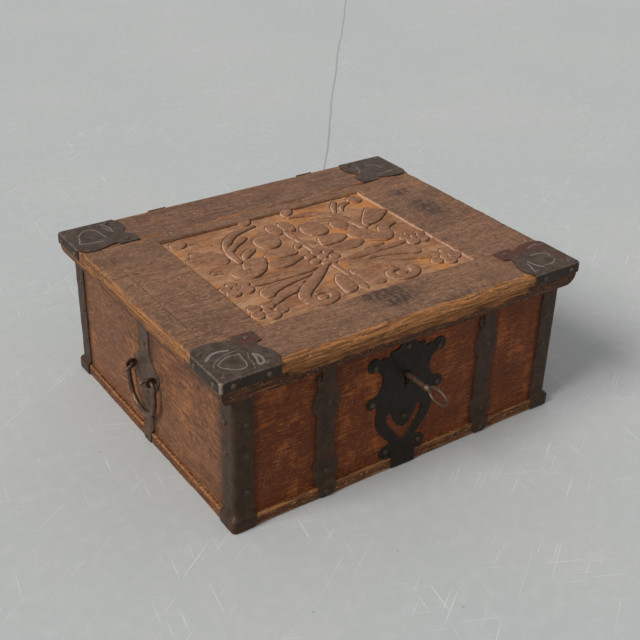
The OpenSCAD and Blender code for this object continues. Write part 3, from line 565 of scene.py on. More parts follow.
def ease(value):
    """Smooth step: 3 t squared less 2 t cubed, with t held between 0 and 1."""
    t = np.clip(value, 0, 1)
    return t * t * (3 - 2 * t)


def bell(x, width, y=0.0, depth=1.0):
    """A smooth bump: e to the power of minus x over width squared, less y over depth squared."""
    return np.exp(-((x / width) ** 2) - (y / depth) ** 2)


def unit(vectors):
    """Vectors divided by their lengths."""
    return vectors / np.linalg.norm(vectors, axis=-1, keepdims=True)


def circle(count, start=0.0, stop=360.0, endpoint=False):
    """Cosine and sine of evenly spaced angles, as two columns."""
    turn = np.radians(np.linspace(start, stop, count, endpoint=endpoint))
    return np.stack([np.cos(turn), np.sin(turn)], -1)


def to_edges(points, start, edge):
    """Distance from each point to each edge, and how far along the edge its nearest place lies."""
    off = points[:, None, :] - start
    along = np.clip((off * edge).sum(-1) / np.maximum((edge**2).sum(-1), 1e-9), 0, 1)
    return np.sqrt(((off - along[..., None] * edge) ** 2).sum(-1)), along


def shape(name, points, faces, material, body, slot, replaced, crease=40, **marks):
    """A piece from points in millimetres and a list of face arrays. Each mark becomes a number on
    every point, for the material to read. Doubled points are merged and the faces turned outward."""
    mesh = bpy.data.meshes.new(name)
    mesh.from_pydata((points * MM).tolist(), [], [face for group in faces for face in group.tolist()])
    for label, values in marks.items():
        mesh.attributes.new(label, "FLOAT", "POINT").data.foreach_set("value", values.astype(np.float32))
    shell = bmesh.new()
    shell.from_mesh(mesh)
    bmesh.ops.remove_doubles(shell, verts=shell.verts, dist=2e-6)
    bmesh.ops.recalc_face_normals(shell, faces=shell.faces)
    shell.to_mesh(mesh)
    shell.free()
    mesh.shade_smooth()
    mesh.set_sharp_from_angle(angle=np.radians(crease))
    mesh.materials.append(material)
    made = place(name, mesh)
    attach(made, body)
    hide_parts(replaced)
    print(f"{name}: {len(mesh.vertices)} points, {len(mesh.polygons)} faces, {np.ptp(points, 0).round(1)} mm")


def joined(*parts):
    """Several (points, faces) shells as one."""
    firsts = np.cumsum([0] + [len(points) for points, _ in parts])
    faces = [group + first for (_, groups), first in zip(parts, firsts) for group in groups]
    return np.concatenate([points for points, _ in parts]), faces


# %% [markdown]
# ## Sheet iron
# A strap on the real chest is cut from sheet, its rim filed round, and bent over the base board. Here
# its outline is filled with triangles on the flat, each point is lowered near the rim by how close
# it lies to the outline, and only then is the flat sheet laid on the box by a placing function.


# %% Outline tools
def reach(outline, points):
    """Distance from each point to a closed outline, positive inside: the least distance to any of its
    edges, signed by whether a ray to the right crosses an odd number of them."""
    edge = np.roll(outline, -1, 0) - outline
    near = to_edges(points, outline, edge)[0].min(1)
    x, y = points[:, None, 0], points[:, None, 1]
    crossed = (outline[:, 1] > y) != (outline[:, 1] + edge[:, 1] > y)
    rise = np.where(edge[:, 1] == 0, 1e-9, edge[:, 1])
    hit = outline[:, 0] + (y - outline[:, 1]) * edge[:, 0] / rise
    return np.where((crossed & (x < hit)).sum(1) % 2 == 1, near, -near)


def cut_corners(line, after):
    """Points at a quarter and at three quarters of the way from each point to the one after it."""
    return np.stack([0.75 * line + 0.25 * after, 0.25 * line + 0.75 * after], 1).reshape(-1, line.shape[1])


def soften(outline):
    """Cuts the corners of a closed outline twice."""
    for _ in range(2):
        outline = cut_corners(outline, np.roll(outline, -1, 0))
    return outline


def rounded_line(line, times=3):
    """Cuts the corners of an open line and keeps its two ends."""
    line = np.asarray(line, float)
    for _ in range(times):
        line = np.concatenate([line[:1], cut_corners(line[:-1], line[1:])[1:-1], line[-1:]])
    return line


def spaced(outline, gap):
    """Points at even steps of about gap along each edge, with every corner kept."""
    parts = []
    for a, b in zip(outline, np.roll(outline, -1, 0)):
        count = max(1, int(np.ceil(np.linalg.norm(b - a) / gap)))
        parts.append(a + (b - a) * np.arange(count)[:, None] / count)
    return np.concatenate(parts)


def fall(distance, radius):
    """How far a rounded edge drops at a distance from it: radius less the root of radius squared less
    (radius minus distance) squared."""
    d = np.clip(distance, 0, radius)
    return radius - np.sqrt(np.maximum(radius**2 - (radius - d) ** 2, 0))


# %% Sheet builder
def sheet(outline, lay_down, thick=IRON, holes=(), gap=2.4, rim=0.8, dents=0.12, seed=1, folds=None,
          dish=None):
    """Fills outline less holes with triangles, rounds the rim, and lays the sheet down with
    lay_down(u, v, h). The front's height is thick, less rim minus the root of rim squared less (rim minus
    d) squared, where d is the distance to the nearest edge, plus lumps and what dish gives. Edges for
    which folds is true are not rims. Returns points, faces and the flat pattern of the front."""
    loops = [spaced(outline, gap)] + [spaced(np.asarray(hole, float), gap * 0.7) for hole in holes]
    corners = np.concatenate(loops)
    sizes = [len(loop) for loop in loops]
    firsts = np.cumsum([0] + sizes[:-1])
    links = [first + np.stack([np.arange(n), (np.arange(n) + 1) % n], -1) for first, n in zip(firsts, sizes)]
    links = np.concatenate(links)

    def depth(points):
        """Distance inside the outline and outside the holes."""
        return np.min([reach(loops[0], points)] + [-reach(hole, points) for hole in loops[1:]], 0)

    def is_rim(ends, at):
        """True for the edges between pairs of points that aren't folds."""
        return np.ones(len(ends), bool) if folds is None else ~folds(0.5 * (at[ends[:, 0]] + at[ends[:, 1]]))

    low, high = corners.min(0), corners.max(0)
    u, v = np.meshgrid(np.arange(low[0], high[0], gap), np.arange(low[1], high[1], gap * 0.87))
    u = u + (np.arange(len(v))[:, None] % 2) * gap / 2
    filling = np.stack([u.ravel(), v.ravel()], -1)
    rings = []
    for loop in loops:
        run = unit(np.roll(loop, -1, 0) - np.roll(loop, 1, 0))
        side = np.stack([-run[:, 1], run[:, 0]], -1)
        for inset in (0.35 * rim, 1.1 * rim):
            for ring in (loop - inset * side, loop + inset * side):
                rings.append(ring[depth(ring) > 0.9 * inset])
    flat = np.concatenate([corners, *rings, filling[depth(filling) > 1.1 * rim + 0.35 * gap]])
    found = delaunay_2d_cdt([Vector(p) for p in flat.tolist()], links.tolist(), [], 0, 1e-5)
    flat = np.array([tuple(p) for p in found[0]])
    triangles = np.array([face for face in found[2] if len(face) == 3])
    triangles = triangles[depth(flat[triangles].mean(1)) > 0]
    rims = links[is_rim(links, corners)]
    away = to_edges(flat, corners[rims[:, 0]], corners[rims[:, 1]] - corners[rims[:, 0]])[0].min(1)
    height = thick - fall(away, rim) + (0 if dish is None else dish(flat[:, 0], flat[:, 1]))
    back = lay_down(flat[:, 0], flat[:, 1], np.zeros(len(flat)))
    height = height + dents * lumps(back, 16, seed) + 0.4 * dents * lumps(back, 5, seed + 1)
    front = lay_down(flat[:, 0], flat[:, 1], height)
    sides = np.sort(np.concatenate([triangles[:, [0, 1]], triangles[:, [1, 2]], triangles[:, [2, 0]]]), 1)
    single, counts = np.unique(sides, axis=0, return_counts=True)
    rims = single[counts == 1]
    rims = rims[is_rim(rims, flat)]
    walls = np.concatenate([rims, rims[:, ::-1] + len(flat)], 1)
    return np.concatenate([front, back]), [triangles, triangles[:, ::-1] + len(flat), walls], flat


# %% [markdown]
# ## Front straps
# A strap has a barbed lobe, a plain length, a swelling and a tongue that is hammered over the base
# board. The bend is a smooth step in how far the sheet stands out, so it follows both boards.


# %% Front straps
def joggle(z):
    """How far an iron stands out at height z: the base board's ledge below it, nothing above."""
    return ledge * (1 - ease((z - base_top + 0.5) / 4.8))


def on_front(u, v, h):
    """Flat sheet onto the front: u along X, v up, h outward."""
    return np.stack([u, front_y - h - joggle(v), v], -1)


def on_back(u, v, h):
    """Flat sheet onto the back."""
    return on_front(u, v, h) * (1, -1, 1)


left_side = [(-6.5, 0), (-8, 4), (-9.5, 12), (-12, 24), (-14, 33), (-13.8, 39), (-11, 44), (-10.6, 52),
             (-11.2, 66), (-10.4, 82), (-10.2, 92), (-10.6, 97), (-14.6, 102), (-15.8, 109), (-13.8, 117),
             (-11.2, 124), (-9.6, 130), (-11.6, 133), (-11.8, 140), (-8.8, 142.5), (-7.6, 139),
             (-8.2, 135.5), (-6.6, 134), (-5.8, 145)]
right_side = [(8.4, 145), (9.4, 136), (11.4, 126), (14.6, 113), (15.6, 106), (13.2, 99), (10.2, 94),
              (10.0, 84), (9.6, 72), (9.6, 58), (10.8, 47), (14.6, 40), (15.0, 33), (13.2, 24), (11.4, 12),
              (10.2, 4), (7, 0)]


def strap_outline(x, mirror=1):
    """The waved outline about x: the two measured edges, from the tongue up and down again."""
    edge = np.array(left_side + [(-5.8, strap_top), (8.4, strap_top)] + right_side, float)
    edge[:, 1] = foot_z + edge[:, 1] * (strap_top - foot_z) / strap_top
    return np.stack([x + mirror * edge[:, 0], edge[:, 1]], -1)[::mirror]


for side, x in zip(("left", "right"), strap_x):
    points, faces, _ = sheet(strap_outline(x), on_front, seed=int(abs(x)))
    shape("strap_" + side, points, faces, body_iron, "chest", "dark_iron", "front_strap_" + side)

# %% [markdown]
# ## Side straps
# The strap on each side widens to a lozenge where the handle's eyes are driven through it. The same
# outline serves both sides, laid on the left face and mirrored onto the right.

# %% Side straps
handle_y, handle_z = 2.5, 84.5
lozenge = [(-6.5, 0.8), (-8, 5), (-8.6, 14), (-8.5, 40), (-9.2, 46), (-12.5, 56), (-18.5, 68), (-24, 76),
           (-28, 84), (-27, 90), (-20, 95), (-13, 100), (-9.4, 106), (-8.4, 114)]


def on_side(side):
    """Placing function for the left face (-1) or the right face (1): u along Y, v up, h outward."""
    return lambda u, v, h: np.stack([side * (wall_x + h + joggle(v)), u, v], -1)


edge = np.array(lozenge + [(-8.6, strap_top)], float)
side_outline = np.concatenate([edge, (edge * (-1, 1))[::-1]]) + (handle_y, 0)
for side, sign in (("left", -1), ("right", 1)):
    points, faces, _ = sheet(side_outline, on_side(sign), seed=31 + sign)
    shape("handle_strap_" + side, points, faces, side_iron, "chest", "dark_iron", "side_strap_" + side)

# %% [markdown]
# ## Corner irons
# An angle of sheet iron hides each joint of the walls. The flat pattern is folded round the corner by
# pushing every point out from a core: the nearest point of a box that is smaller by the bend's radius.

# %% Corner irons
corner_foot = span("corner_iron_front_left")[0][2]
LEG, BEND = 20.0, 2.0


def folded_corner(sx, sy):
    """Placing function: u runs from the side leg's edge over the fold at 0 to the front leg's edge."""
    def lay_down(u, v, h):
        flat = np.stack([np.maximum(u, 0), np.maximum(-u, 0)], -1)
        core = np.maximum(flat, BEND)
        at = core + (BEND + h[:, None]) * unit(flat - core)
        at = at - joggle(v)[:, None] * (1 - np.clip(at / LEG, 0, 1))
        return np.stack([sx * (wall_x - at[:, 0]), sy * (-front_y - at[:, 1]), v], -1)
    return lay_down


def leg_outline(seed):
    """A tall rectangle with slightly wandering edges."""
    z = np.linspace(corner_foot, strap_top, 24)
    sway = np.cumsum(np.random.default_rng(seed).normal(0, 0.22, (2, 24)), 1)
    sway -= sway.mean(1, keepdims=True)
    right = np.stack([LEG + np.clip(sway[0], -0.9, 0.5), z], -1)
    left = np.stack([-LEG - np.clip(sway[1], -0.5, 0.9), z], -1)
    return np.concatenate([right, left[::-1]])


for sx, across in ((-1, "left"), (1, "right")):
    for sy, along in ((-1, "front"), (1, "back")):
        seed = 50 + 2 * sx + sy
        points, faces, _ = sheet(leg_outline(seed), folded_corner(sx, sy), gap=2.2, dents=0.16, seed=seed)
        name = f"{along}_{across}"
        shape("angle_" + name, points, faces, body_iron, "chest", "dark_iron", "corner_iron_" + name)

# %% [markdown]
# ## Lock plate
# The plate is a shield with eight lobes, a scalloped waist and a pierced heart. Its outline is drawn
# by arcs between the lobes, and the heart and the keyhole are holes in the same sheet.

# %% Lock plate
lock_x, key_z = -2.5, 108.3


def arc(x, y, radius, start, stop, count=12):
    """Points on a circle from one angle to another, in degrees."""
    return (x, y) + radius * circle(count, start, stop, True)


half = np.concatenate([
    [(15, foot_z - key_z), (15, -100), (15.4, -93)], arc(21.5, -87, 7.3, -150, 115, 16),
    [(17, -76), (22, -71)], arc(0, -42, 35.5, -52, 20), [(35.6, -27)], arc(41, -22, 6.6, -140, 95, 14),
    arc(46.5, 0.5, 17.5, -118, -242), arc(40, 21.5, 8, -80, 160, 16),
    [(30, 27), (21.5, 24.5), (21, 31), (13, 31.5)], arc(0, 26.5, 12.8, 25, 90, 8)])
plate = np.concatenate([half, (half * (-1, 1))[::-1][1:]])
heart = [(-22, -42), (-21.5, -49), (-18, -56), (-10, -67), (0, -80), (10, -67), (18, -56), (21.5, -49),
         (22, -42), (16, -41), (13, -49.5), (8, -58), (0, -63.5), (-8, -58), (-13, -49.5), (-16, -41)]
keyhole = np.concatenate([arc(0, 0, 3.9, -52, 232, 18), [(-2.4, -12.4), (2.4, -12.4)]])


def on_lock(u, v, h):
    """About the key's axis, on the front."""
    return on_front(u + lock_x, v + key_z, h)


def plate_dish(u, v):
    """The shield is hammered up a little towards its middle and round the nail in the heart's cleft."""
    return 0.5 * bell(u, 26, v + 6, 26) - 0.15 + 0.8 * bell(u, 3.4, v + 16, 3.4)


points, faces, _ = sheet(plate, on_lock, holes=[heart, keyhole], gap=2.0, dents=0.14, seed=71,
                         dish=plate_dish)
shape("lock_shield", points, faces, lock_iron, "chest", "dark_iron", "lock_plate")

# %% [markdown]
# ## Rods, rings and turned parts
# The handles, their eyes and the key are forged from rod. A tube is a circle of changing radius that
# is carried along a path. Two directions square to the path keep it from twisting.


# %% Tube builder
def tube(path, radius, hint, around=16, closed=False, flatness=1.0):
    """Rings of radius about path: side is the path's direction crossed with hint, and up is side crossed
    with it. Each ring is a circle, squeezed along up by flatness. Ends of radius 0 close themselves."""
    run = unit(np.roll(path, -1, 0) - np.roll(path, 1, 0) if closed else np.gradient(path, axis=0))
    side = unit(np.cross(run, np.broadcast_to(hint, path.shape)))
    up = np.cross(side, run)
    cos, sin = circle(around).T[..., None]
    radius = np.broadcast_to(radius, len(path))[:, None, None]
    rings = path[:, None] + radius * (cos * side[:, None] + flatness * sin * up[:, None])
    faces = grid_faces(len(path) + closed, around, True) % rings[..., 0].size
    return rings.reshape(-1, 3), [faces]


def smooth_path(corners, count):
    """A smooth path through corner points: even steps along a Catmull-Rom curve, whose tangent at each
    corner is half the way between its neighbours."""
    p = np.concatenate([[2 * corners[0] - corners[1]], corners, [2 * corners[-1] - corners[-2]]])
    s = np.linspace(0, len(corners) - 1 - 1e-6, count * 4)
    k, t = s.astype(int), (s % 1)[:, None]
    a, b, c, d = p[k], p[k + 1], p[k + 2], p[k + 3]
    path = 0.5 * (2 * b + (c - a) * t + (2 * a - 5 * b + 4 * c - d) * t**2 + (3 * b - a - 3 * c + d) * t**3)
    length = np.concatenate([[0], np.cumsum(np.linalg.norm(np.diff(path, axis=0), axis=1))])
    even = np.linspace(0, length[-1], count)
    return np.stack([np.interp(even, length, path[:, i]) for i in range(3)], -1)


# %% [markdown]
# ## Handles
# Each handle is one forged bow. Its ends turn in through the eyes and finish in a drawn-out tip, so
# the rod is thick at the bottom of the bow and thin at both ends.

# %% Handles
EYE_OUT, EYE_RADIUS = 21.4, 5.0
pivot_x = span("handle_eyes_left")[0][0] + EYE_RADIUS
half_bow = [(10.0, 15.4, -3.6), (6.5, 15.6, -1.0), (2.6, 16.3, 0.2), (0, 18.4, 0), (0, 21.4, 0),
            (0, 25.0, -0.3), (0, 27.4, -2.6), (0, 28.1, -7.0), (0, 28.2, -16), (0, 26.6, -27),
            (0, 21.4, -37.2), (0, 12.5, -43.8), (0, 4.0, -46.0)]


def bow(side):
    """Half of the bow from the tip through the eye, round the shoulder and down, then its mirror."""
    half = np.array(half_bow, float)
    path = smooth_path(np.concatenate([half, (half * (1, -1, 1))[::-1]]), 150)
    along = np.abs(np.linspace(-1, 1, 150))
    radius = np.interp(along, [0, 0.45, 0.74, 0.80, 0.90, 0.96, 1.0], [2.9, 2.7, 2.3, 2.1, 2.05, 1.5, 0.9])
    radius[[0, -1]] = 0
    hint = np.where((along > 0.87)[:, None], (0.15, 0, 1.0), (1.0, 0, 0))
    placed = path * (side, 1, 1) + (side * -pivot_x, handle_y, handle_z)
    return tube(placed, radius + 0.06 * lumps(placed, 9, 5 + side) * (radius > 0), hint)


def eye(side, y):
    """A ring about Y at the handle's axis and the shank behind it: the ring is a closed tube."""
    cos, sin = circle(28).T
    centre = np.array([side * -pivot_x, y, handle_z])
    ring = tube(centre + 3.72 * np.stack([cos, 0 * cos, sin], -1), 2.3, (0, 1, 0), 14, True, 0.52)
    root, end = side * (wall_x - 11), side * (-pivot_x - 3.4)
    x = np.concatenate([[root, root], np.linspace(root, end, 8), [end]])
    shank = np.stack([x + np.linspace(0, 0.01, len(x)) * side, 0 * x + y, 0 * x + handle_z], -1)
    return joined(ring, tube(shank, [0, 1.2] + [2.0] * 8 + [0], (0, 0, 1), 12))


for side, sign in (("left", -1), ("right", 1)):
    shape("bow_handle_" + side, *bow(sign), bright_iron, side + "_handle", "worn_iron", "handle_" + side)
    points, faces = joined(eye(sign, handle_y - EYE_OUT), eye(sign, handle_y + EYE_OUT))
    shape("eyes_" + side, points, faces, body_iron, "chest", "dark_iron", "handle_eyes_" + side)

# %% [markdown]
# ## Key
# An old key: a long oval bow bent from thin rod, a collar, a round shank and a plain bit. The bow is a
# closed tube and the shank a tube whose radius follows a turned profile.

# %% Key
key_low, key_high = span("key")
WIRE, BOW_LONG, BOW_WIDE = 1.9, 14.5, 9


def key_parts():
    """Bow, shank and bit, with the shank along Y."""
    cos, sin = circle(56).T
    bow_y = -(BOW_LONG - WIRE) * np.sign(cos) * np.abs(cos) ** 0.92
    oval = np.stack([0 * cos, bow_y, (BOW_WIDE - WIRE) * sin], -1)
    loop = tube(oval + (lock_x, key_low[1] + BOW_LONG, key_z), WIRE - 0.25 * cos**2, (1, 0, 0), 14, True)
    y = np.array([0, 0, 0.3, 1.2, 1.8, 2.6, 3.6, 4.4, 5.0, 5.4, 6.2, 20, 40, 0, 0, 0]) + key_low[1] + 27.4
    y = y + np.arange(len(y)) * 1e-3
    y[-3:] = key_high[1] - (0.5, 0.01, 0)
    radius = np.array([0, 1.6, 2.1, 2.5, 2.7, 3.1, 3.5, 3.6, 3.4, 3.0, 2.75, 2.8, 2.9, 2.95, 2.4, 0])
    shank = tube(np.stack([0 * y + lock_x, y, 0 * y + key_z], -1), radius, (1, 0, 0), 18)
    ring = spaced(np.array([(-1.3, -4.4), (1.3, -4.4), (1.3, 4.4), (-1.3, 4.4)]), 0.9)
    rise, scale = np.array([(-11.3, 0), (-11.3, 0.9), (-10.9, 1), (-2, 1), (-2, 0)]).T[..., None]
    block = np.stack([scale * ring[:, 0], scale * ring[:, 1], rise + 0 * ring[:, 0]], -1)
    block = block + (lock_x, sum(span("lock_bolt"))[1] / 2, key_z)
    return joined(loop, shank, (block.reshape(-1, 3), [grid_faces(5, len(ring), True)]))


shape("old_key", *key_parts(), bright_iron, "key", "worn_iron", "key")

# %% [markdown]
# ## Lid corner plates
# Each corner of the lid wears a shaped plate whose edges are hammered down over both sides. The flat
# pattern is the top with two flaps. The same core trick as for the corner irons folds it, and the
# cut between the flaps closes where they meet. Worn flower engraving is cut in as shallow grooves.

# %% Lid plates
FLAP = 10.9
plate_edge = [(0, -FLAP), (61, -FLAP), (61, 0), (62.5, 4), (66, 11), (66.4, 18), (65, 25), (60, 33),
              (59, 40), (67, 43), (67, 60), (45, 61), (43, 55), (34, 57.5), (24, 61), (15, 62), (7, 60.6),
              (2.5, 57.5), (0, 52), (-FLAP, 52), (-FLAP, 0), (0, 0)]
engraving = {
    "front_left": [(0.8, [(11.8, 25.4), (18.1, 29.8), (26.2, 33.1), (32.7, 31.4), (37.5, 32), (35.2, 25),
                          (35.2, 16.5), (32.5, 10), (26.9, 8.9), (20.7, 10.9), (16.1, 15.7), (12.1, 19.4),
                          (11.8, 25.4)]),
                   (0.55, [(6, 23.3), (11.6, 30.4), (21.6, 36), (31.4, 37.6), (41.7, 38)]),
                   (0.55, [(44.6, 30), (40.3, 21.8), (40.2, 12.2), (36.4, 4)]),
                   (1.7, [(6.2, 36.2), (12.5, 41.8), (21.5, 44.6), (31.1, 41.5)]),
                   (1.5, [(47.2, 25.9), (46.2, 17.5), (42, 6.5), (49, 8.5), (51.1, 15.5), (49.7, 23.6)])],
    "front_right": [(0.8, [(25.8, 49.9), (17, 53.2), (10.2, 52.6), (7.5, 49.8)]),
                    (0.8, [(36, 35.5), (23, 36), (15, 31), (18, 24.4)]),
                    (1.3, [(46.5, 28.4), (47, 18.8), (41.2, 10.2)]),
                    (0.8, [(17.9, 17.4), (28.4, 10.5), (37.1, 12.6)]),
                    (1.1, [(50.5, 24.3), (54.1, 13.3), (57, 6)])],
    "back_left": [(0.8, [(6.7, 40.1), (10.2, 33.6), (12.2, 24.2), (20.5, 13.1), (28.7, 10.8), (34.8, 16.5),
                         (36.6, 28.5), (37.5, 40.5)]),
                  (1.0, [(6.7, 40.1), (15.7, 43.3), (23.9, 43.8), (31.8, 45.2)]),
                  (1.0, [(45.8, 6.5), (48.9, 14.1), (50.3, 20.5), (49, 29.6)]),
                  (0.7, [(43.6, 13.1), (46.2, 20.2), (46.8, 27)])],
    "back_right": [(0.7, [(34.7, 16.7), (25.5, 19.8), (20.1, 25.5), (21.1, 34.5)]),
                   (0.7, [(46.3, 16.8), (48.4, 27.4), (56.8, 36.3)]),
                   (0.9, [(37.2, 48.2), (24.4, 49), (12.9, 46.6)]),
                   (0.6, [(58.4, 7.1), (51.1, 7.7), (44.5, 11.7)])]}
PLATE, FOLD, CUT = 1.3, 1.7, 0.35


def from_line(points, line):
    """Least distance from each point to an open line of segments."""
    line = np.asarray(line, float)
    return to_edges(points, line[:-1], line[1:] - line[:-1])[0].min(1)


def folded_plate(sx, back):
    """Placing function: u in from the side edge, v in from the front or back edge, flaps below zero."""
    def lay_down(u, v, h):
        flat = np.stack([np.maximum(u, 0), np.maximum(v, 0), np.minimum(np.minimum(u, v), 0)], -1)
        core = np.concatenate([np.maximum(flat[:, :2], FOLD), np.minimum(flat[:, 2:], -FOLD)], 1)
        at = core + (FOLD + h[:, None]) * unit(flat - core)
        y = lid_back - at[:, 1] if back else lid_front + at[:, 1]
        return np.stack([sx * (lid_x - at[:, 0]), y, lid_top + at[:, 2]], -1)
    return lay_down


def on_fold(middle):
    """True on the cut between the two flaps."""
    u, v = middle.T
    return ((np.abs(v) < 1e-4) & (u < 0)) | ((np.abs(u) < 1e-4) & (v < 0))


def lid_plate(corner, sx, back, seed):
    """One corner plate with its engraving as grooves and as a mark for the material. Two more marks tell
    where old red paint is left, and where the rims and the corner are polished by hands."""
    lines = [(width, rounded_line(line)) for width, line in engraving[corner]]

    def cut(u, v):
        """Height of the grooves, all below zero: the deepest bell across any of the lines."""
        at = np.stack([u, v], -1)
        return -CUT * np.max([bell(from_line(at, line), width) for width, line in lines], 0)

    points, faces, flat = sheet(np.array(plate_edge), folded_plate(sx, back), thick=PLATE, gap=1.05, rim=0.7,
                                dents=0.07, seed=seed, folds=on_fold, dish=cut)
    u, v = flat.T
    red = bell(u - 56, 15, v - 50, 13) * (0.35 if back else 1.0)
    if corner == "front_right":
        red = np.max([red, 0.95 * bell(v - 55, 15), 0.8 * bell(u - 9, 8, v - 24, 14)], 0)
    red *= 0.75 + 0.4 * lumps(flat, 9, seed + 5)
    past, beside = flat.min(1), flat.max(1)
    polished = 0.4 * bell(past, 1.3) + (past < -0.5) * bell(beside, 1.5)
    marks = {"engraved": -cut(u, v) / CUT, "reddened": red, "polished": polished}
    shape("lid_iron_" + corner, points, faces, lid_iron, "lid", "lid_iron", "lid_plate_" + corner,
          **{label: np.tile(values, 2) for label, values in marks.items()})


for number, (corner, sx, back) in enumerate([("front_left", -1, False), ("front_right", 1, False),
                                             ("back_left", -1, True), ("back_right", 1, True)]):
    lid_plate(corner, sx, back, 91 + number)

# %% [markdown]
# ## Nails
# Each head was struck by hand, so none is quite round. All heads are made at once: a dome profile is
# turned, its radius swelled by a slow wave round the rim, and the result is set at each place.


# %% Nail builder
def nails(spots, seed, radius=3.0, height=1.35):
    """Rings of a domed head and its shank, turned about each spot's outward direction: the radius of every
    ring is multiplied by one plus a small cosine of two or three times the angle."""
    rng = np.random.default_rng(seed)
    places, outward = np.array(spots, float)[:, :3], np.array(spots, float)[:, 3:]
    n, around = len(places), 12
    profile = np.array([(0, -8.5), (0.15, -7.5), (0.32, -3), (0.34, -0.4), (0.96, -0.35), (1.0, 0.12),
                        (0.93, 0.42), (0.74, 0.74), (0.46, 0.93), (0.2, 1.0), (0, 1.02)])
    size = radius * rng.uniform(0.9, 1.08, (n, 1))
    high = height * rng.uniform(0.8, 1.15, (n, 1))
    turn = np.arange(around) * 2 * np.pi / around
    deep = rng.uniform(0.02, 0.08, (n, 1))
    ripples, start = rng.integers(2, 4, (n, 1)), rng.uniform(0, 6, (n, 1))
    swell = 1 + deep * np.cos(ripples * turn + start)
    r = profile[:, 0, None] * size[:, None, :] * swell[:, None, :]
    lift = np.where(profile[:, 1] < 0, profile[:, 1], profile[:, 1] * high)
    side = unit(np.cross(np.where(np.abs(outward[:, 2:]) > 0.9, (1.0, 0, 0), (0, 0, 1.0)), outward))
    up = np.cross(outward, side)
    ring = np.cos(turn)[:, None] * side[:, None, None] + np.sin(turn)[:, None] * up[:, None, None]
    grid = places[:, None, None] + r[..., None] * ring + lift[:, :, None, None] * outward[:, None, None]
    faces = grid_faces(len(profile), around, True) + np.arange(n)[:, None, None] * len(profile) * around
    return grid.reshape(-1, 3), [faces.reshape(-1, 4)]


# %% Nails of the box
iron_x, iron_y = wall_x + IRON, -front_y + IRON
lock_nails = [(-40.5, -23), (40.5, -23), (-39.5, 19.5), (39.5, 19.5), (-21, -86.6), (21, -86.6),
              (0, -49.5), (0, 31)]
strap_nails = [(0.5, 7), (1.8, 29), (2, 109)]
corner_z, side_z = (42, 82, 117), (7, 32, 62, 118)
spots = []
for sx in (-1, 1):
    for sy in (-1, 1):
        for z in corner_z:
            spots += [(sx * (iron_x - 14), sy * iron_y, z, 0, sy, 0),
                      (sx * iron_x, sy * (iron_y - 15), z, sx, 0, 0)]
    spots += [(sx * (iron_x + joggle(z)), handle_y, z, sx, 0, 0) for z in side_z]
for x in strap_x:
    for dx, z in strap_nails:
        out = iron_y + joggle(z)
        spots += [(x + dx, -out, z, 0, -1, 0), (x - dx, out, z, 0, 1, 0)]
spots += [(lock_x + dx, -iron_y, key_z + dz, 0, -1, 0) for dx, dz in lock_nails]
low, high = span("lock_case")
spots += [(x, low[1] + 1.5, z, 0, 1, 0) for x in (low[0] + 4, high[0] - 4) for z in (low[2] + 8, high[2] - 8)]
shape("box_nails", *nails(spots, 201), nail_iron, "chest", "dark_iron", "body_nails")

# %% Nails of the lid
top_nails = [(6, 48.5), (56, 52), (8, 7), (52, 7)]
spots, middle_z = [], 0.5 * (lid_z + lid_top)
for sx in (-1, 1):
    for edge, sign in ((lid_front, 1), (lid_back, -1)):
        spots += [(sx * (lid_x - u), edge + sign * v, lid_top + PLATE, 0, 0, 1) for u, v in top_nails]
        spots += [(sx * (lid_x - u), edge - sign * PLATE, middle_z, 0, -sign, 0) for u in (12, 48)]
        spots += [(sx * (lid_x + PLATE), edge + sign * v, middle_z, sx, 0, 0) for v in (11, 44.5)]
for name in ("hinge_leaf_left", "hinge_leaf_right"):
    low, high = span(name)
    spots += [(x, lid_back + 1.5, lid_z + 6.4, 0, 1, 0) for x in (low[0] + 5, high[0] - 5)]
staple = sum(span("lid_staple")) / 2
spots += [(staple[0] + x, staple[1], lid_z - 1.5, 0, 0, -1) for x in (-13, 13)]
points, faces = nails(spots, 202, radius=2.8, height=1.15)
points = np.clip(points, *span("lid_nails"))
shape("cover_nails", points, faces, lid_nail_iron, "lid", "lid_iron", "lid_nails")

# %% [markdown]
# ## Hinges
# On the back the same waved strap ends in two rolled knuckles, and the lid's leaf has the knuckle
# between them. The knuckles are closed tubes with a bore, so the pin is really inside them.

# %% Hinge straps
_, pin_y, pin_z = sum(span("hinge_pin_left")) / 2
KNUCKLE, OUTER, BORE = 7.0, 3.5, 1.95


def knuckle(x):
    """A rolled sleeve about the hinge's axis: a closed profile of bore, face, outside and face, turned."""
    half = np.array([(0, BORE), (0, OUTER - 0.5), (0.15, OUTER - 0.15), (0.5, OUTER)])
    along, radius = np.concatenate([half, (half * (-1, 1))[::-1] + (KNUCKLE, 0), half[:1]]).T[..., None]
    cos, sin = circle(24).T
    grid = np.stack([x + along + 0 * cos, pin_y + radius * cos, pin_z + radius * sin], -1)
    return grid.reshape(-1, 3), [grid_faces(9, 24, True)]


def hinge_outline(x):
    """The front strap's outline, mirrored, cut short under the knuckles and with a notch for the leaf's."""
    waved = strap_outline(x, -1)
    waved = waved[waved[:, 1] < 146]
    half = [(9.5, 150), (10.2, 156), (10.8, pin_z - 3.2), (3.9, pin_z - 3.2), (3.9, pin_z - 4.1)]
    top = np.concatenate([half, (np.array(half) * (-1, 1))[::-1]])
    gaps = np.linalg.norm(np.diff(waved, axis=0, append=waved[:1]), axis=1) * (waved[:, 1] > 140)
    split = int(np.argmax(gaps)) + 1
    right_first = waved[split - 1, 0] > x
    return np.concatenate([waved[:split], (top if right_first else top[::-1]) + (x, 0), waved[split:]])


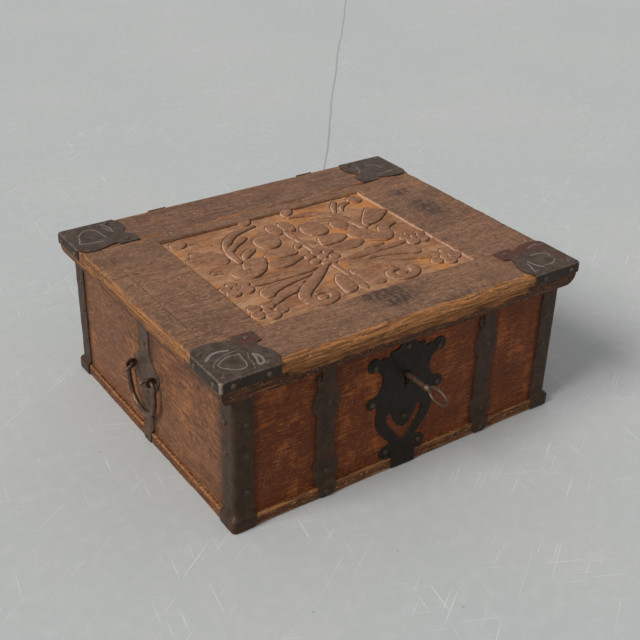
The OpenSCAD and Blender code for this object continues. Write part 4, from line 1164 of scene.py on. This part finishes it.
for side, x in zip(("left", "right"), strap_x):
    strap = sheet(hinge_outline(x), on_back, seed=120 + int(abs(x)))[:2]
    points, faces = joined(strap, knuckle(x - 10.8), knuckle(x + 3.8))
    shape("hinge_strap_worn_" + side, points, faces, body_iron, "chest", "dark_iron", "hinge_strap_" + side)

# %% [markdown]
# ## The carving
# The lid's front board is carved in low relief inside a sunk field: two flowers at each lower side, a
# pair of scrolls that spring from the middle, tulips, pear shapes and long leaves above them. Carvers
# cut one half and mirrored the pattern, so each form is drawn once and used twice. A form is a closed
# outline, a disc given as x, y and radius, or a band given as a line and its half widths.

# %% Outlines of the carved forms
fold_x = -5.7
forms = {
    "long_leaf": [(-26, -50), (-37, -51.5), (-49, -51), (-63, -50.5), (-75, -50), (-87, -51), (-96, -54),
                  (-102, -60), (-104.5, -66.5), (-101.5, -73.5), (-94, -73.5), (-88, -68.5), (-81, -65),
                  (-69, -61), (-57, -58.5), (-44, -57.5), (-32, -54)],
    "upper_leaf": [(-20, -44), (-32, -42.5), (-47, -41), (-63, -39.5), (-78, -39.5), (-90, -39),
                   (-100, -40.5), (-107, -44.5), (-98, -47), (-87, -47.5), (-77, -48.5), (-63, -49),
                   (-48, -49), (-32, -48)],
    "low_leaf": [(-22, -52), (-41, -58), (-60, -61), (-76, -67), (-88, -73), (-99, -79), (-108, -83),
                 (-107, -90), (-96, -87), (-88, -83), (-80, -80), (-70, -78), (-61, -76), (-52, -72),
                 (-38, -66), (-26, -58)],
    "rib_leaf": [(-83, -32.5), (-73, -32), (-63, -34.5), (-53, -38.5), (-38, -43.5), (-51, -44),
                 (-61, -42.5), (-70, -39.5), (-79, -36.5)],
    "wing": [(-22, -14), (-34, -10), (-48, -9), (-62, -11), (-68, -17), (-60, -25), (-50, -28),
             (-40, -26.5), (-30, -21), (-24, -19)],
    "tulip": [(-125, -2), (-119, 3), (-107, 5), (-99, 2), (-94, -7), (-90, -13), (-88, -5), (-84, 3),
              (-76, 8), (-66, 6), (-57, 3), (-61, -8), (-69, -21), (-79, -28), (-89, -32), (-98, -29),
              (-105, -20), (-107, -10), (-113, -4)],
    "vase": [(-46, 14), (-36, 12), (-28, 14), (-23, 5), (-20, -7), (-32, -8), (-46, -7), (-55, -2),
             (-59, 3), (-52, 9)],
    "pear": [(-50, 33), (-48.5, 42), (-42, 49), (-33, 50.5), (-25, 45.5), (-21, 36), (-22.5, 26), (-28, 18),
             (-36, 15), (-45, 17.5), (-49.5, 25)],
    "blade": [(-78, 8), (-77, 17), (-69, 26), (-60, 29), (-54.5, 26.5), (-57, 21), (-66, 15), (-74, 9)],
    "fan": [(-18, 40), (-10, 41), (-6.5, 50), (-6.5, 62), (-12, 68), (-20, 64), (-22, 52)],
    "small_leaf": [(-20, 2.5), (-12, 3), (-7, 8), (-6.5, 14), (-11, 14), (-17, 9)],
    "drop": [(-12, -66), (-19, -70), (-26, -79), (-29, -92), (-31, -106), (-24, -107.5), (-16, -104.5),
             (-11, -97), (-9.5, -86), (-9.5, -74)],
    "bud": [(-7.5, -72), (-12, -78), (-13, -90), (-12, -103), (-7.5, -111), (-3, -104), (-1, -92),
            (-2, -80), (-4, -73)],
    "spear": [(-5.7, 44), (-10, 35), (-9.4, 25), (-5.7, 19), (-2, 25), (-1.4, 35)],
    "worn_leaf": [(-133, 37), (-122, 42), (-120, 50), (-113, 51), (-107, 44.5), (-98, 41), (-91, 32),
                  (-90, 17), (-96, 10.5), (-104, 14), (-113, 24), (-123, 33)],
    "long_blade": [(79, 8), (86, 10.5), (95, 11), (104, 15), (112, 21), (120, 27), (128, 30.5), (119, 36),
                   (111, 42), (108, 50), (100, 43), (92, 34), (84, 25), (78, 16)],
    "worn_bud": [(45, 24), (46, 34), (52, 41), (60, 39), (65, 31), (64, 20), (56, 13), (49, 16)],
    "stub": [(15, 73), (13, 84), (18, 92), (29, 92), (31, 85), (26, 79)],
    "scroll": ([(-15, -46), (-32, -59), (-48, -71), (-61, -80), (-69.5, -89), (-71.5, -99), (-65.5, -108),
                (-54, -110.5), (-44, -106.5), (-40, -97.5), (-46, -89.5), (-55, -91)],
               [3.4, 5.8, 6.5, 6.3, 5.9, 5.4, 4.9, 4.7, 4.6, 4.4, 3.6, 2.4]),
    "hook": ([(-85, 6), (-84.5, 26), (-80, 42), (-72, 55), (-60, 65.5), (-46, 71), (-28, 73)],
             [3, 4, 4.4, 4.8, 4.8, 4, 2]),
    "branch": ([(-81, 33), (-69, 43.5), (-58, 48), (-50, 53)], [4, 4, 3, 1.4]),
    "tail": ([(-91, 57), (-96, 66), (-104, 71), (-114, 74)], [1.6, 2.8, 2.8, 2.2]),
    "slash": ([(70, 58), (76, 70), (85, 80)], [2, 3.4, 2.4]),
    "scroll_eye": (-54.5, -99.5, 5.2), "worn_bead": (-32.5, 87, 7.8), "corner_bead": (-120.5, 74.5, 9)}
petals = {"low": [(-126, -97, 7.2), (-114, -103.5, 8), (-101.5, -98.5, 6.6), (-124, -85.5, 7),
                  (-109, -86, 6.5)],
          "high": [(-123.5, -47.5, 7.6), (-110, -48, 7.8), (-127.5, -37, 6), (-117.5, -32.5, 6.4),
                   (-107, -37.5, 6)],
          "rose": [(-17, -20.5, 5.4), (-18, -32.5, 5.6), (-10, -41.5, 5.2), (-5.7, -15.5, 5.6),
                   (5.6, -20.5, 5.4), (6.6, -32.5, 5.6), (-1.4, -41.5, 5.2)]}

# %% [markdown]
# The forms are laid over one another like leaves of paper: each is raised where its distance inside
# the outline is positive, with a short steep side, and a thin groove is cut all round it into what
# lies below. Petals are dished, leaves have veins, and the whole is rubbed soft by age.

# %% Relief
laid = [("hook", 1.9), ("branch", 1.8), ("tail", 1.5), ("slash", 1.5, 0, 1), ("wing", 1.7),
        ("rib_leaf", 1.3), ("upper_leaf", 1.8), ("vase", 1.9), ("low_leaf", 1.8), ("long_leaf", 2.1),
        ("scroll", 2.2), ("scroll_eye", 2.0, 0.3), ("tulip", 2.2, 0.25), ("pear", 2.2, 0.3), ("blade", 1.9),
        ("worn_leaf", 1.6, 0, -1), ("long_blade", 1.9, 0, 1), ("worn_bud", 1.2, 0, 1), ("stub", 2.0, 0, 1),
        ("worn_bead", 2.0, 0.6, -1), ("corner_bead", 1.9, 0.35), ("fan", 1.8, 0.2), ("small_leaf", 1.6),
        ("drop", 2.0), ("bud", 2.1, 0.6, -1), ("stem", 1.9), ("spear", 2.1, 0, -1)]
veins = [[(-44, -54), (-72, -55), (-90, -59)], [(-26, -15), (-45, -18), (-60, -18)],
         [(-90, -14), (-93, -22)], [(-76, 13), (-66, 18.5), (-57, 25)],
         [(-40, -62), (-70, -71), (-100, -83)], [(-44, -45), (-70, -44), (-94, -43)],
         [(-17, -72), (-22, -86), (-24, -102)], [(-6.5, -79), (-7.5, -104)], [(-80, -5), (-76, -20)]]
right_veins = [[(88, 24), (100, 32), (112, 37)], [(93, 21), (106, 28), (118, 32)]]
STEM = np.array([(fold_x, -74), (fold_x, 44)])
SEEN_SHIFT = np.array([2.8, 3.4])


def flip(line):
    """The other half's copy: mirrored about the middle line of the pattern."""
    return np.asarray(line, float)[::-1] * (-1, 1) + (2 * fold_x, 0)


def along_band(points, line, widths):
    """Half width less the distance to the nearest segment, with the width changing along the line."""
    near, along = to_edges(points, line[:-1], line[1:] - line[:-1])
    return (widths[:-1] * (1 - along) + widths[1:] * along - near).max(1)


def within(points, box, margin):
    """True for the points within a margin of the box round some others."""
    return ((points > box.min(0) - margin) & (points < box.max(0) + margin)).all(1)


def relief(points):
    """Height of the carving above the sunk ground and how far each point belongs to a raised form. The forms
    were measured on the plane of the lid's top, so they are moved back by what the slanting view added."""
    points = points - SEEN_SHIFT
    height, cover = np.zeros(len(points)), np.zeros(len(points))

    def lay(box, inside, level, dish=0.0):
        """Lays one form over the relief in the points near its box: the height is blended to the form's level
        over 1.1 mm and swells toward the middle, or is dished there, with a groove just outside the edge."""
        near = within(points, box, 5)
        s = inside(points[near])
        top = level - 0.7 + 1.3 * ease(s / 4.5) - dish * ease((s - 1.2) / 3.5)
        part = ease((s + 0.35) / 1.1)
        groove = 1.2 * bell(s + 0.7, 0.75)
        height[near] = np.maximum(height[near] * (1 - part) + top * part - groove, -0.7)
        cover[near] = np.maximum(cover[near], ease((s + 0.2) / 1.2))

    def both(form, level, dish=0.0, only=None):
        """Lays a form on both halves, or as it is drawn where it belongs to one only."""
        for side in (-1, 1) if only is None else (only,):
            mirrored = side > 0 and only is None
            if len(form) == 2:
                line = np.array(form[0], float)
                line = flip(line)[::-1] if mirrored else line
                fine = rounded_line(np.column_stack([line, form[1]]), 2)
                lay(line, lambda p: along_band(p, fine[:, :2], fine[:, 2]), level)
            else:
                outline = form[:2] + form[2] * circle(20) if np.ndim(form) == 1 else np.array(form, float)
                edge = soften(flip(outline) if mirrored else outline)
                lay(edge, lambda p: reach(edge, p), level, dish)

    for name, *how in laid:
        if name == "stem":
            lay(np.array([(-12, -74), (1, 46)]), lambda p: along_band(p, STEM, np.array([2.2, 2.6])), *how)
        else:
            both(forms[name], *how)
    for group, only in (("low", None), ("high", None), ("rose", -1)):
        for petal in petals[group]:
            both(petal, 2.3, 0.85, only)
    for centre, only in (((-114.5, -93.5, 4.4), None), ((-116.5, -41, 4), None), ((fold_x, -28, 5), -1)):
        both(centre, 2.4, 0.3, only)
    for vein in veins:
        for line in (np.array(vein, float), flip(vein)):
            near = within(points, line, 3)
            height[near] -= 0.8 * cover[near] * bell(from_line(points[near], line), 0.8)
    for line in right_veins:
        height -= 0.6 * bell(from_line(points, line), 0.8)
    return height, cover


# %% [markdown]
# ## Lid board
# The board is one surface: a fine grid where it is carved, a coarse one outside, and closely spaced
# lines at its edges, which are rounded by letting the height fall along a quarter circle. The field is
# sunk deeper at the back than at the front. Sides and underside close the grid into a solid board.

# %% Lid grid
NOSE, SIDE, JOINT = 6.4, 3.2, 0.8
FINE_X, FINE_Y, COARSE = 0.95, 0.92, 3.8
SCRIBED, FIELD_DEPTH = 193.0, 2.1
field_low, field_high = np.array([-133.5, -116.2]), np.array([125.5, 90.8])


def lines(low, high, radius_low, radius_high, fine_low, fine_high, fine):
    """Grid positions: quarter-circle steps at both edges, fine steps inside the field, coarse between."""
    steps = 1 - np.cos(np.linspace(0, HALF, 6))
    inner_low, inner_high = low + radius_low, high - radius_high
    first = np.linspace(inner_low, fine_low, max(2, round((fine_low - inner_low) / COARSE)))[1:-1]
    middle = np.linspace(fine_low, fine_high, round((fine_high - fine_low) / fine))
    last = np.linspace(fine_high, inner_high, max(2, round((inner_high - fine_high) / COARSE)))[1:-1]
    return np.concatenate([low + radius_low * steps, first, middle, last, high - radius_high * steps[::-1]])


beside_line = SCRIBED + np.array([-2.0, -1.1, -0.6, -0.2, 0.2, 0.6, 1.1, 2.0])
grid_x = lines(-lid_x, lid_x, SIDE, SIDE, field_low[0] - 1.5, field_high[0] + 1.5, FINE_X)
grid_x = np.sort(np.concatenate([-beside_line, grid_x[np.abs(np.abs(grid_x) - SCRIBED) > 2.3], beside_line]))
grid_y = lines(lid_front, joint_y, NOSE, JOINT, field_low[1] - 3, field_high[1] + 1.5, FINE_Y)
rows, columns = len(grid_y), len(grid_x)
print(f"lid grid: {rows} rows of {columns} points")


def scribed(x):
    """One on the two lines that were scribed near the ends of the lid, falling to none beside them."""
    return bell(np.abs(x) - SCRIBED, 0.6)


def lid_heights(points):
    """Depth of the field, the relief in it, the scribed lines near both ends and the lumps of wear."""
    edge = ease((np.minimum(points - field_low, field_high - points).min(1) + 0.4) / 1.3)
    inward = points[:, 1] - field_low[1]
    ground = (FIELD_DEPTH + 0.5 * ease(inward / 180)) * edge * ease((inward + 3) / 7)
    height, cover = np.zeros(len(points)), np.zeros(len(points))
    height[edge > 0], cover[edge > 0] = relief(points[edge > 0])
    top = -ground + np.minimum(0.36 * height * ground + 0.2 * np.minimum(height, 0), ground + 0.1)
    top = top + edge * (0.14 * lumps(points * (0.5, 1.0), 4.5, 20) + 0.10 * lumps(points, 8, 21))
    grain = lumps(points * (0.06, 1.0), 3.4, 12) * 0.07 + lumps(points * (0.05, 1.0), 9, 13) * 0.10
    wear = 0.22 * lumps(points, 60, 14) + 0.10 * lumps(points, 14, 15)
    return top + grain + wear - 0.45 * scribed(points[:, 0]) - 0.2, cover * edge, edge


# %% Lid marks
stains = [(-2, -124, 22, 9, 1.3), (2, -145, 10, 6, 1.4), (14, -138, 24, 13, 0.6), (-62, -150, 5, 3, 0.6),
          (168, 15, 15, 25, 1.0), (164, 62, 13, 9, 0.8), (-190, 40, 7, 3, 0.6), (66, -169, 13, 4, 0.7),
          (40, -166, 14, 2.5, 0.5), (-30, -167, 30, 2, 0.45)]


def lid_marks(top, field, d_side, d_front):
    """What the material reads on the top: hollow is how far a point lies below the mean of its neighbours,
    slope how far it leans to the light, which places the carving's painted shade and painted highlight, rub
    the worn edges and stain the dark spots and scribed lines."""
    z = top[:, 2].reshape(rows, columns)
    smooth = z.copy()
    for _ in range(6):
        shifted = [np.roll(smooth, step, axis) for axis in (0, 1) for step in (1, -1)]
        smooth = (smooth + sum(shifted)) / 5
    hollow = np.clip((smooth - z) / 0.55, -1, 1).ravel() * field
    rise_y, rise_x = np.gradient(z, grid_y, grid_x)
    # Lean toward the light from the left and behind; the carved board paints shade and highlight by it.
    slope = np.clip((rise_x - rise_y) / 1.6, -1, 1).ravel() * field
    flat = top[:, :2]
    ragged = 2.2 * lumps(flat * (0.5, 1), 16, 22) + 1.2 * lumps(flat * (0.5, 1), 6, 23)
    at_side = ease((4.5 - d_side + 0.4 * ragged) / 4.5) * np.where(flat[:, 0] < 0, 0.62, 0.25)
    rub = np.maximum(ease((10.5 - d_front + ragged) / 5), at_side)
    stain = sum(amount * bell(flat[:, 0] - sx, rx, flat[:, 1] - sy, ry) for sx, sy, rx, ry, amount in stains)
    stain = np.clip(stain * (1 + 0.9 * lumps(flat, 9, 18) + 0.5 * lumps(flat, 4, 19)), 0, 1)
    stain = np.maximum(stain, 0.75 * np.clip(0.6 + 0.5 * lumps(flat, 30, 24), 0.1, 1) * scribed(flat[:, 0]))
    return {"hollow": hollow, "slope": slope, "rub": rub, "stain": stain}


# %% Lid board
def lid_board():
    """Top grid, walls that follow its border down to the underside, two rings there and one face inside."""
    x, y = [side.ravel() for side in np.meshgrid(grid_x, grid_y)]
    flat = np.stack([x, y], -1)
    height, cover, field = lid_heights(flat)
    d_side, d_front, d_joint = np.minimum(x + lid_x, lid_x - x), y - lid_front, joint_y - y
    worn = 0.5 * lumps(flat, 24, 16) + 0.3 * lumps(flat, 7, 17)
    drop = fall(d_side, SIDE) + fall(d_front, NOSE) + fall(d_joint, JOINT) + 0.9 * ease(1 - d_front / 15)
    at_edge = np.exp(-np.minimum(d_side, d_front) / 3.0)
    z = lid_top + np.minimum(height, 0) * (1 - at_edge * 0.6) - np.minimum(drop, lid_top - lid_z - 2.2)
    z = z - at_edge * np.maximum(worn, 0) * 0.9
    x = x - np.sign(x) * np.exp(-d_side / 2.5) * (0.5 + 0.5 * worn)
    y = y + np.exp(-d_front / 3) * (0.35 + 0.35 * worn)
    top = np.stack([x, y, z], -1)
    number = np.arange(len(top)).reshape(rows, columns)
    border = np.concatenate([number[0, :-1], number[:-1, -1], number[-1, :0:-1], number[:0:-1, 0]])
    rim, n, m = top[border], len(top), len(border)
    middle, half = np.array([0, 0.5 * (lid_front + joint_y)]), np.array([lid_x, 0.5 * (joint_y - lid_front)])
    at_rim = np.stack([d_side[border], np.minimum(d_front, d_joint)[border]], -1) < 0.01
    rings = []
    for part, inset in ((0.3, 0.0), (0.62, 0.15), (0.88, 0.1), (1.0, 0.9)):
        inward = inset * np.sign(middle - rim[:, :2]) * at_rim
        rings.append(np.column_stack([rim[:, :2] + inward, rim[:, 2] * (1 - part) + lid_z * part]))
    for inset in (2.5, 18.0):
        inner = middle + (rings[3][:, :2] - middle) * (1 - inset / half)
        rings.append(np.column_stack([inner, rings[3][:, 2]]))
    wall = grid_faces(7, m, True)
    wall = np.where(wall < m, border[wall % m], wall - m + n)
    underside = np.arange(m)[::-1][None] + n + 5 * m
    below = {"rub": np.repeat([1, 1, 1, 1, 0.6, 0], m)}
    marks = {"raised": cover, "field": field, **lid_marks(top, field, d_side, d_front)}
    none = np.zeros(6 * m)
    marks = {label: np.concatenate([above, below.get(label, none)]) for label, above in marks.items()}
    return np.concatenate([top] + rings), [grid_faces(rows, columns), wall, underside], marks


points, faces, marks = lid_board()
shape("carved_board", points, faces, carved_oak, "lid", "lid_wood", "lid_board", crease=60, **marks)

# %% [markdown]
# ## Base board and back strip of the lid
# A plain board on the real chest is never a sharp block: its edges are rounded by two centuries of
# lifting. Each board is six grids of points on a box. A point is pulled toward the nearest point of a
# smaller box inside, so the distance to that inner box is the radius, and the radius changes slowly
# along the edge with the lumps of wear.


# %% Worn boards
def slab(name, radius, material, body, slot, node, seed):
    """Rounded box: core is the point held inside the box less its radius, and the surface is core plus
    radius times the unit vector from core to the point."""
    low, high = span(node)
    near = radius * 1.6 * (1 - np.cos(np.linspace(0, HALF, 5)))
    ticks = []
    for a, b in zip(low, high):
        inner = np.linspace(a + near[-1], b - near[-1], max(3, round((b - a - 2 * near[-1]) / 5) + 1))
        ticks.append(np.concatenate([a + near[:-1], inner, b - near[-2::-1]]))
    parts = []
    for axis in range(3):
        one, two = [k for k in range(3) if k != axis]
        p, q = [grid.ravel() for grid in np.meshgrid(ticks[one], ticks[two], indexing="ij")]
        for level in (low[axis], high[axis]):
            face = np.empty((len(p), 3))
            face[:, axis], face[:, one], face[:, two] = level, p, q
            parts.append((face, [grid_faces(len(ticks[one]), len(ticks[two]))]))
    points, faces = joined(*parts)
    edge = np.sort(np.minimum(points - low, high - points), 1)[:, 1]
    round_by = radius * (1 + 0.35 * lumps(points, 60, seed) + 0.12 * lumps(points, 22, seed + 1))[:, None]
    round_by = np.clip(round_by, 0.35 * radius, 1.6 * radius)
    core = np.clip(points, low + round_by, high - round_by)
    worn = 0.16 * np.maximum(1 + lumps(points * (0.2, 1, 1), 12, seed + 2), 0)[:, None]
    rub = 0.85 * ease((4.0 - edge + 0.9 * lumps(points, 30, seed + 3)) / 4)
    shape(name, core + (round_by - worn) * unit(points - core), faces, material, body, slot, node, rub=rub)


slab("base_slab", 1.7, base_oak, "chest", "body_wood", "base_board", 131)
slab("back_strip", 1.5, lid_oak, "lid", "lid_wood", "lid_back_board", 137)

# %% [markdown]
# ## Mouldings
# A strip of convex moulding was planed along three sides of the lid's underside and cut at the
# corners. The profile is one list of heights with how far each stands out at the side and at the
# front. Carrying it along the edge gives all three strips, and they meet in the same corner curve.


# %% Moulding strips
def moulding(side, across, material):
    """Profile carried along an edge: each ring runs from one corner to the other at its own height, and
    wear takes up to 0.7 mm off away from the corners."""
    count = 150
    x_out, x_in = -span("lid_moulding_left")[0][0], -span("lid_moulding_left")[1][0]
    (_, y_out, low), (_, y_in, _) = span("lid_moulding_front")
    rise = lid_z - 1.5 - low
    above = [lid_z - 0.8, lid_z, lid_z, lid_z]
    z = np.concatenate([[low, low, low], low + rise * np.linspace(0.02, 1, 14), above])

    def out(run, inner, outer):
        """How far each point of the profile stands out: an arc that falls back by run over the rise."""
        r = (rise**2 + run**2) / (2 * run)
        curved = outer - r + np.sqrt(r**2 - (lid_z - 1.5 - z[3:17]) ** 2)
        foot = outer - run
        under = [inner, 0.5 * (inner + foot), foot - 0.2]
        return np.concatenate([under, curved, [outer, outer - 0.3, inner + 1, inner]])

    side_out, front_out = out(6.1, x_in, x_out), out(3.6, -y_in, -y_out)
    t = np.linspace(0, 1, count)[:, None]
    if side == 0:
        x, y, away = side_out * (2 * t - 1), -front_out + 0 * t, (0, 1, 0)
    else:
        x, y, away = side * side_out + 0 * t, -front_out * (1 - t) + (lid_back - 0.3) * t, (-side, 0, 0)
    points = np.stack([x, y, z + 0 * t], -1).reshape(-1, 3)
    ends = np.clip(np.minimum(t, 1 - t) * 25, 0, 1) * ease((z - low) / 3) * (side_out > x_in + 1.5)
    worn = 0.22 * (1 + lumps(points, 18, 141)) + 0.12 * (1 + lumps(points * (0.4, 0.4, 1), 4, 142))
    points = points + (worn.clip(0, 0.7) * ends.ravel())[:, None] * np.array(away)
    from_corner = points[:, 1] + front_out.max() if side else side_out.max() - np.abs(points[:, 0])
    rub = ease((points[:, 2] - low - 6 + 2 * lumps(points, 22, 143)) / 7) * ease((from_corner - 62) / 12)
    cap = np.arange(len(z))[None]
    faces = [grid_faces(count, len(z), True), cap[:, ::-1], cap + (count - 1) * len(z)]
    shape(f"moulding_{across}_strip", points, faces, material, "lid", "lid_wood", "lid_moulding_" + across,
          rub=rub)


moulding(0, "front", mould_oak)
moulding(-1, "left", mould_oak_side)
moulding(1, "right", mould_oak_side)

# %% [markdown]
# ## The frame's own pieces
# The boards of the box, the hinge pins, the hinge leaves and the works of the lock keep the frame's
# own meshes. They are plain solids, so a material by the start of each name is all that they need.

# %% Materials on the frame's own nodes
finish = {
    "front_board": front_oak, "back_board": front_oak, "left_board": side_oak, "right_board": side_oak,
    "base_board": base_oak, "lid_board": lid_oak, "lid_back_board": lid_oak,
    "lid_moulding_front": mould_oak, "lid_moulding": mould_oak_side, "lid_plate": lid_iron,
    "hinge_leaf": lid_iron, "lid_staple": lid_iron, "lid_nails": lid_nail_iron, "body_nails": nail_iron,
    "board_nails": nail_iron, "key": bright_iron, "lock_bolt": bright_iron, "handle_left": bright_iron,
    "handle_right": bright_iron, "bolt_spring": bright_iron, "hinge_pin": bright_iron}
for name, node in nodes.items():
    starts = [start for start in finish if name.startswith(start)]
    for slot in node.material_slots:
        slot.material = finish[max(starts, key=len)] if starts else body_iron
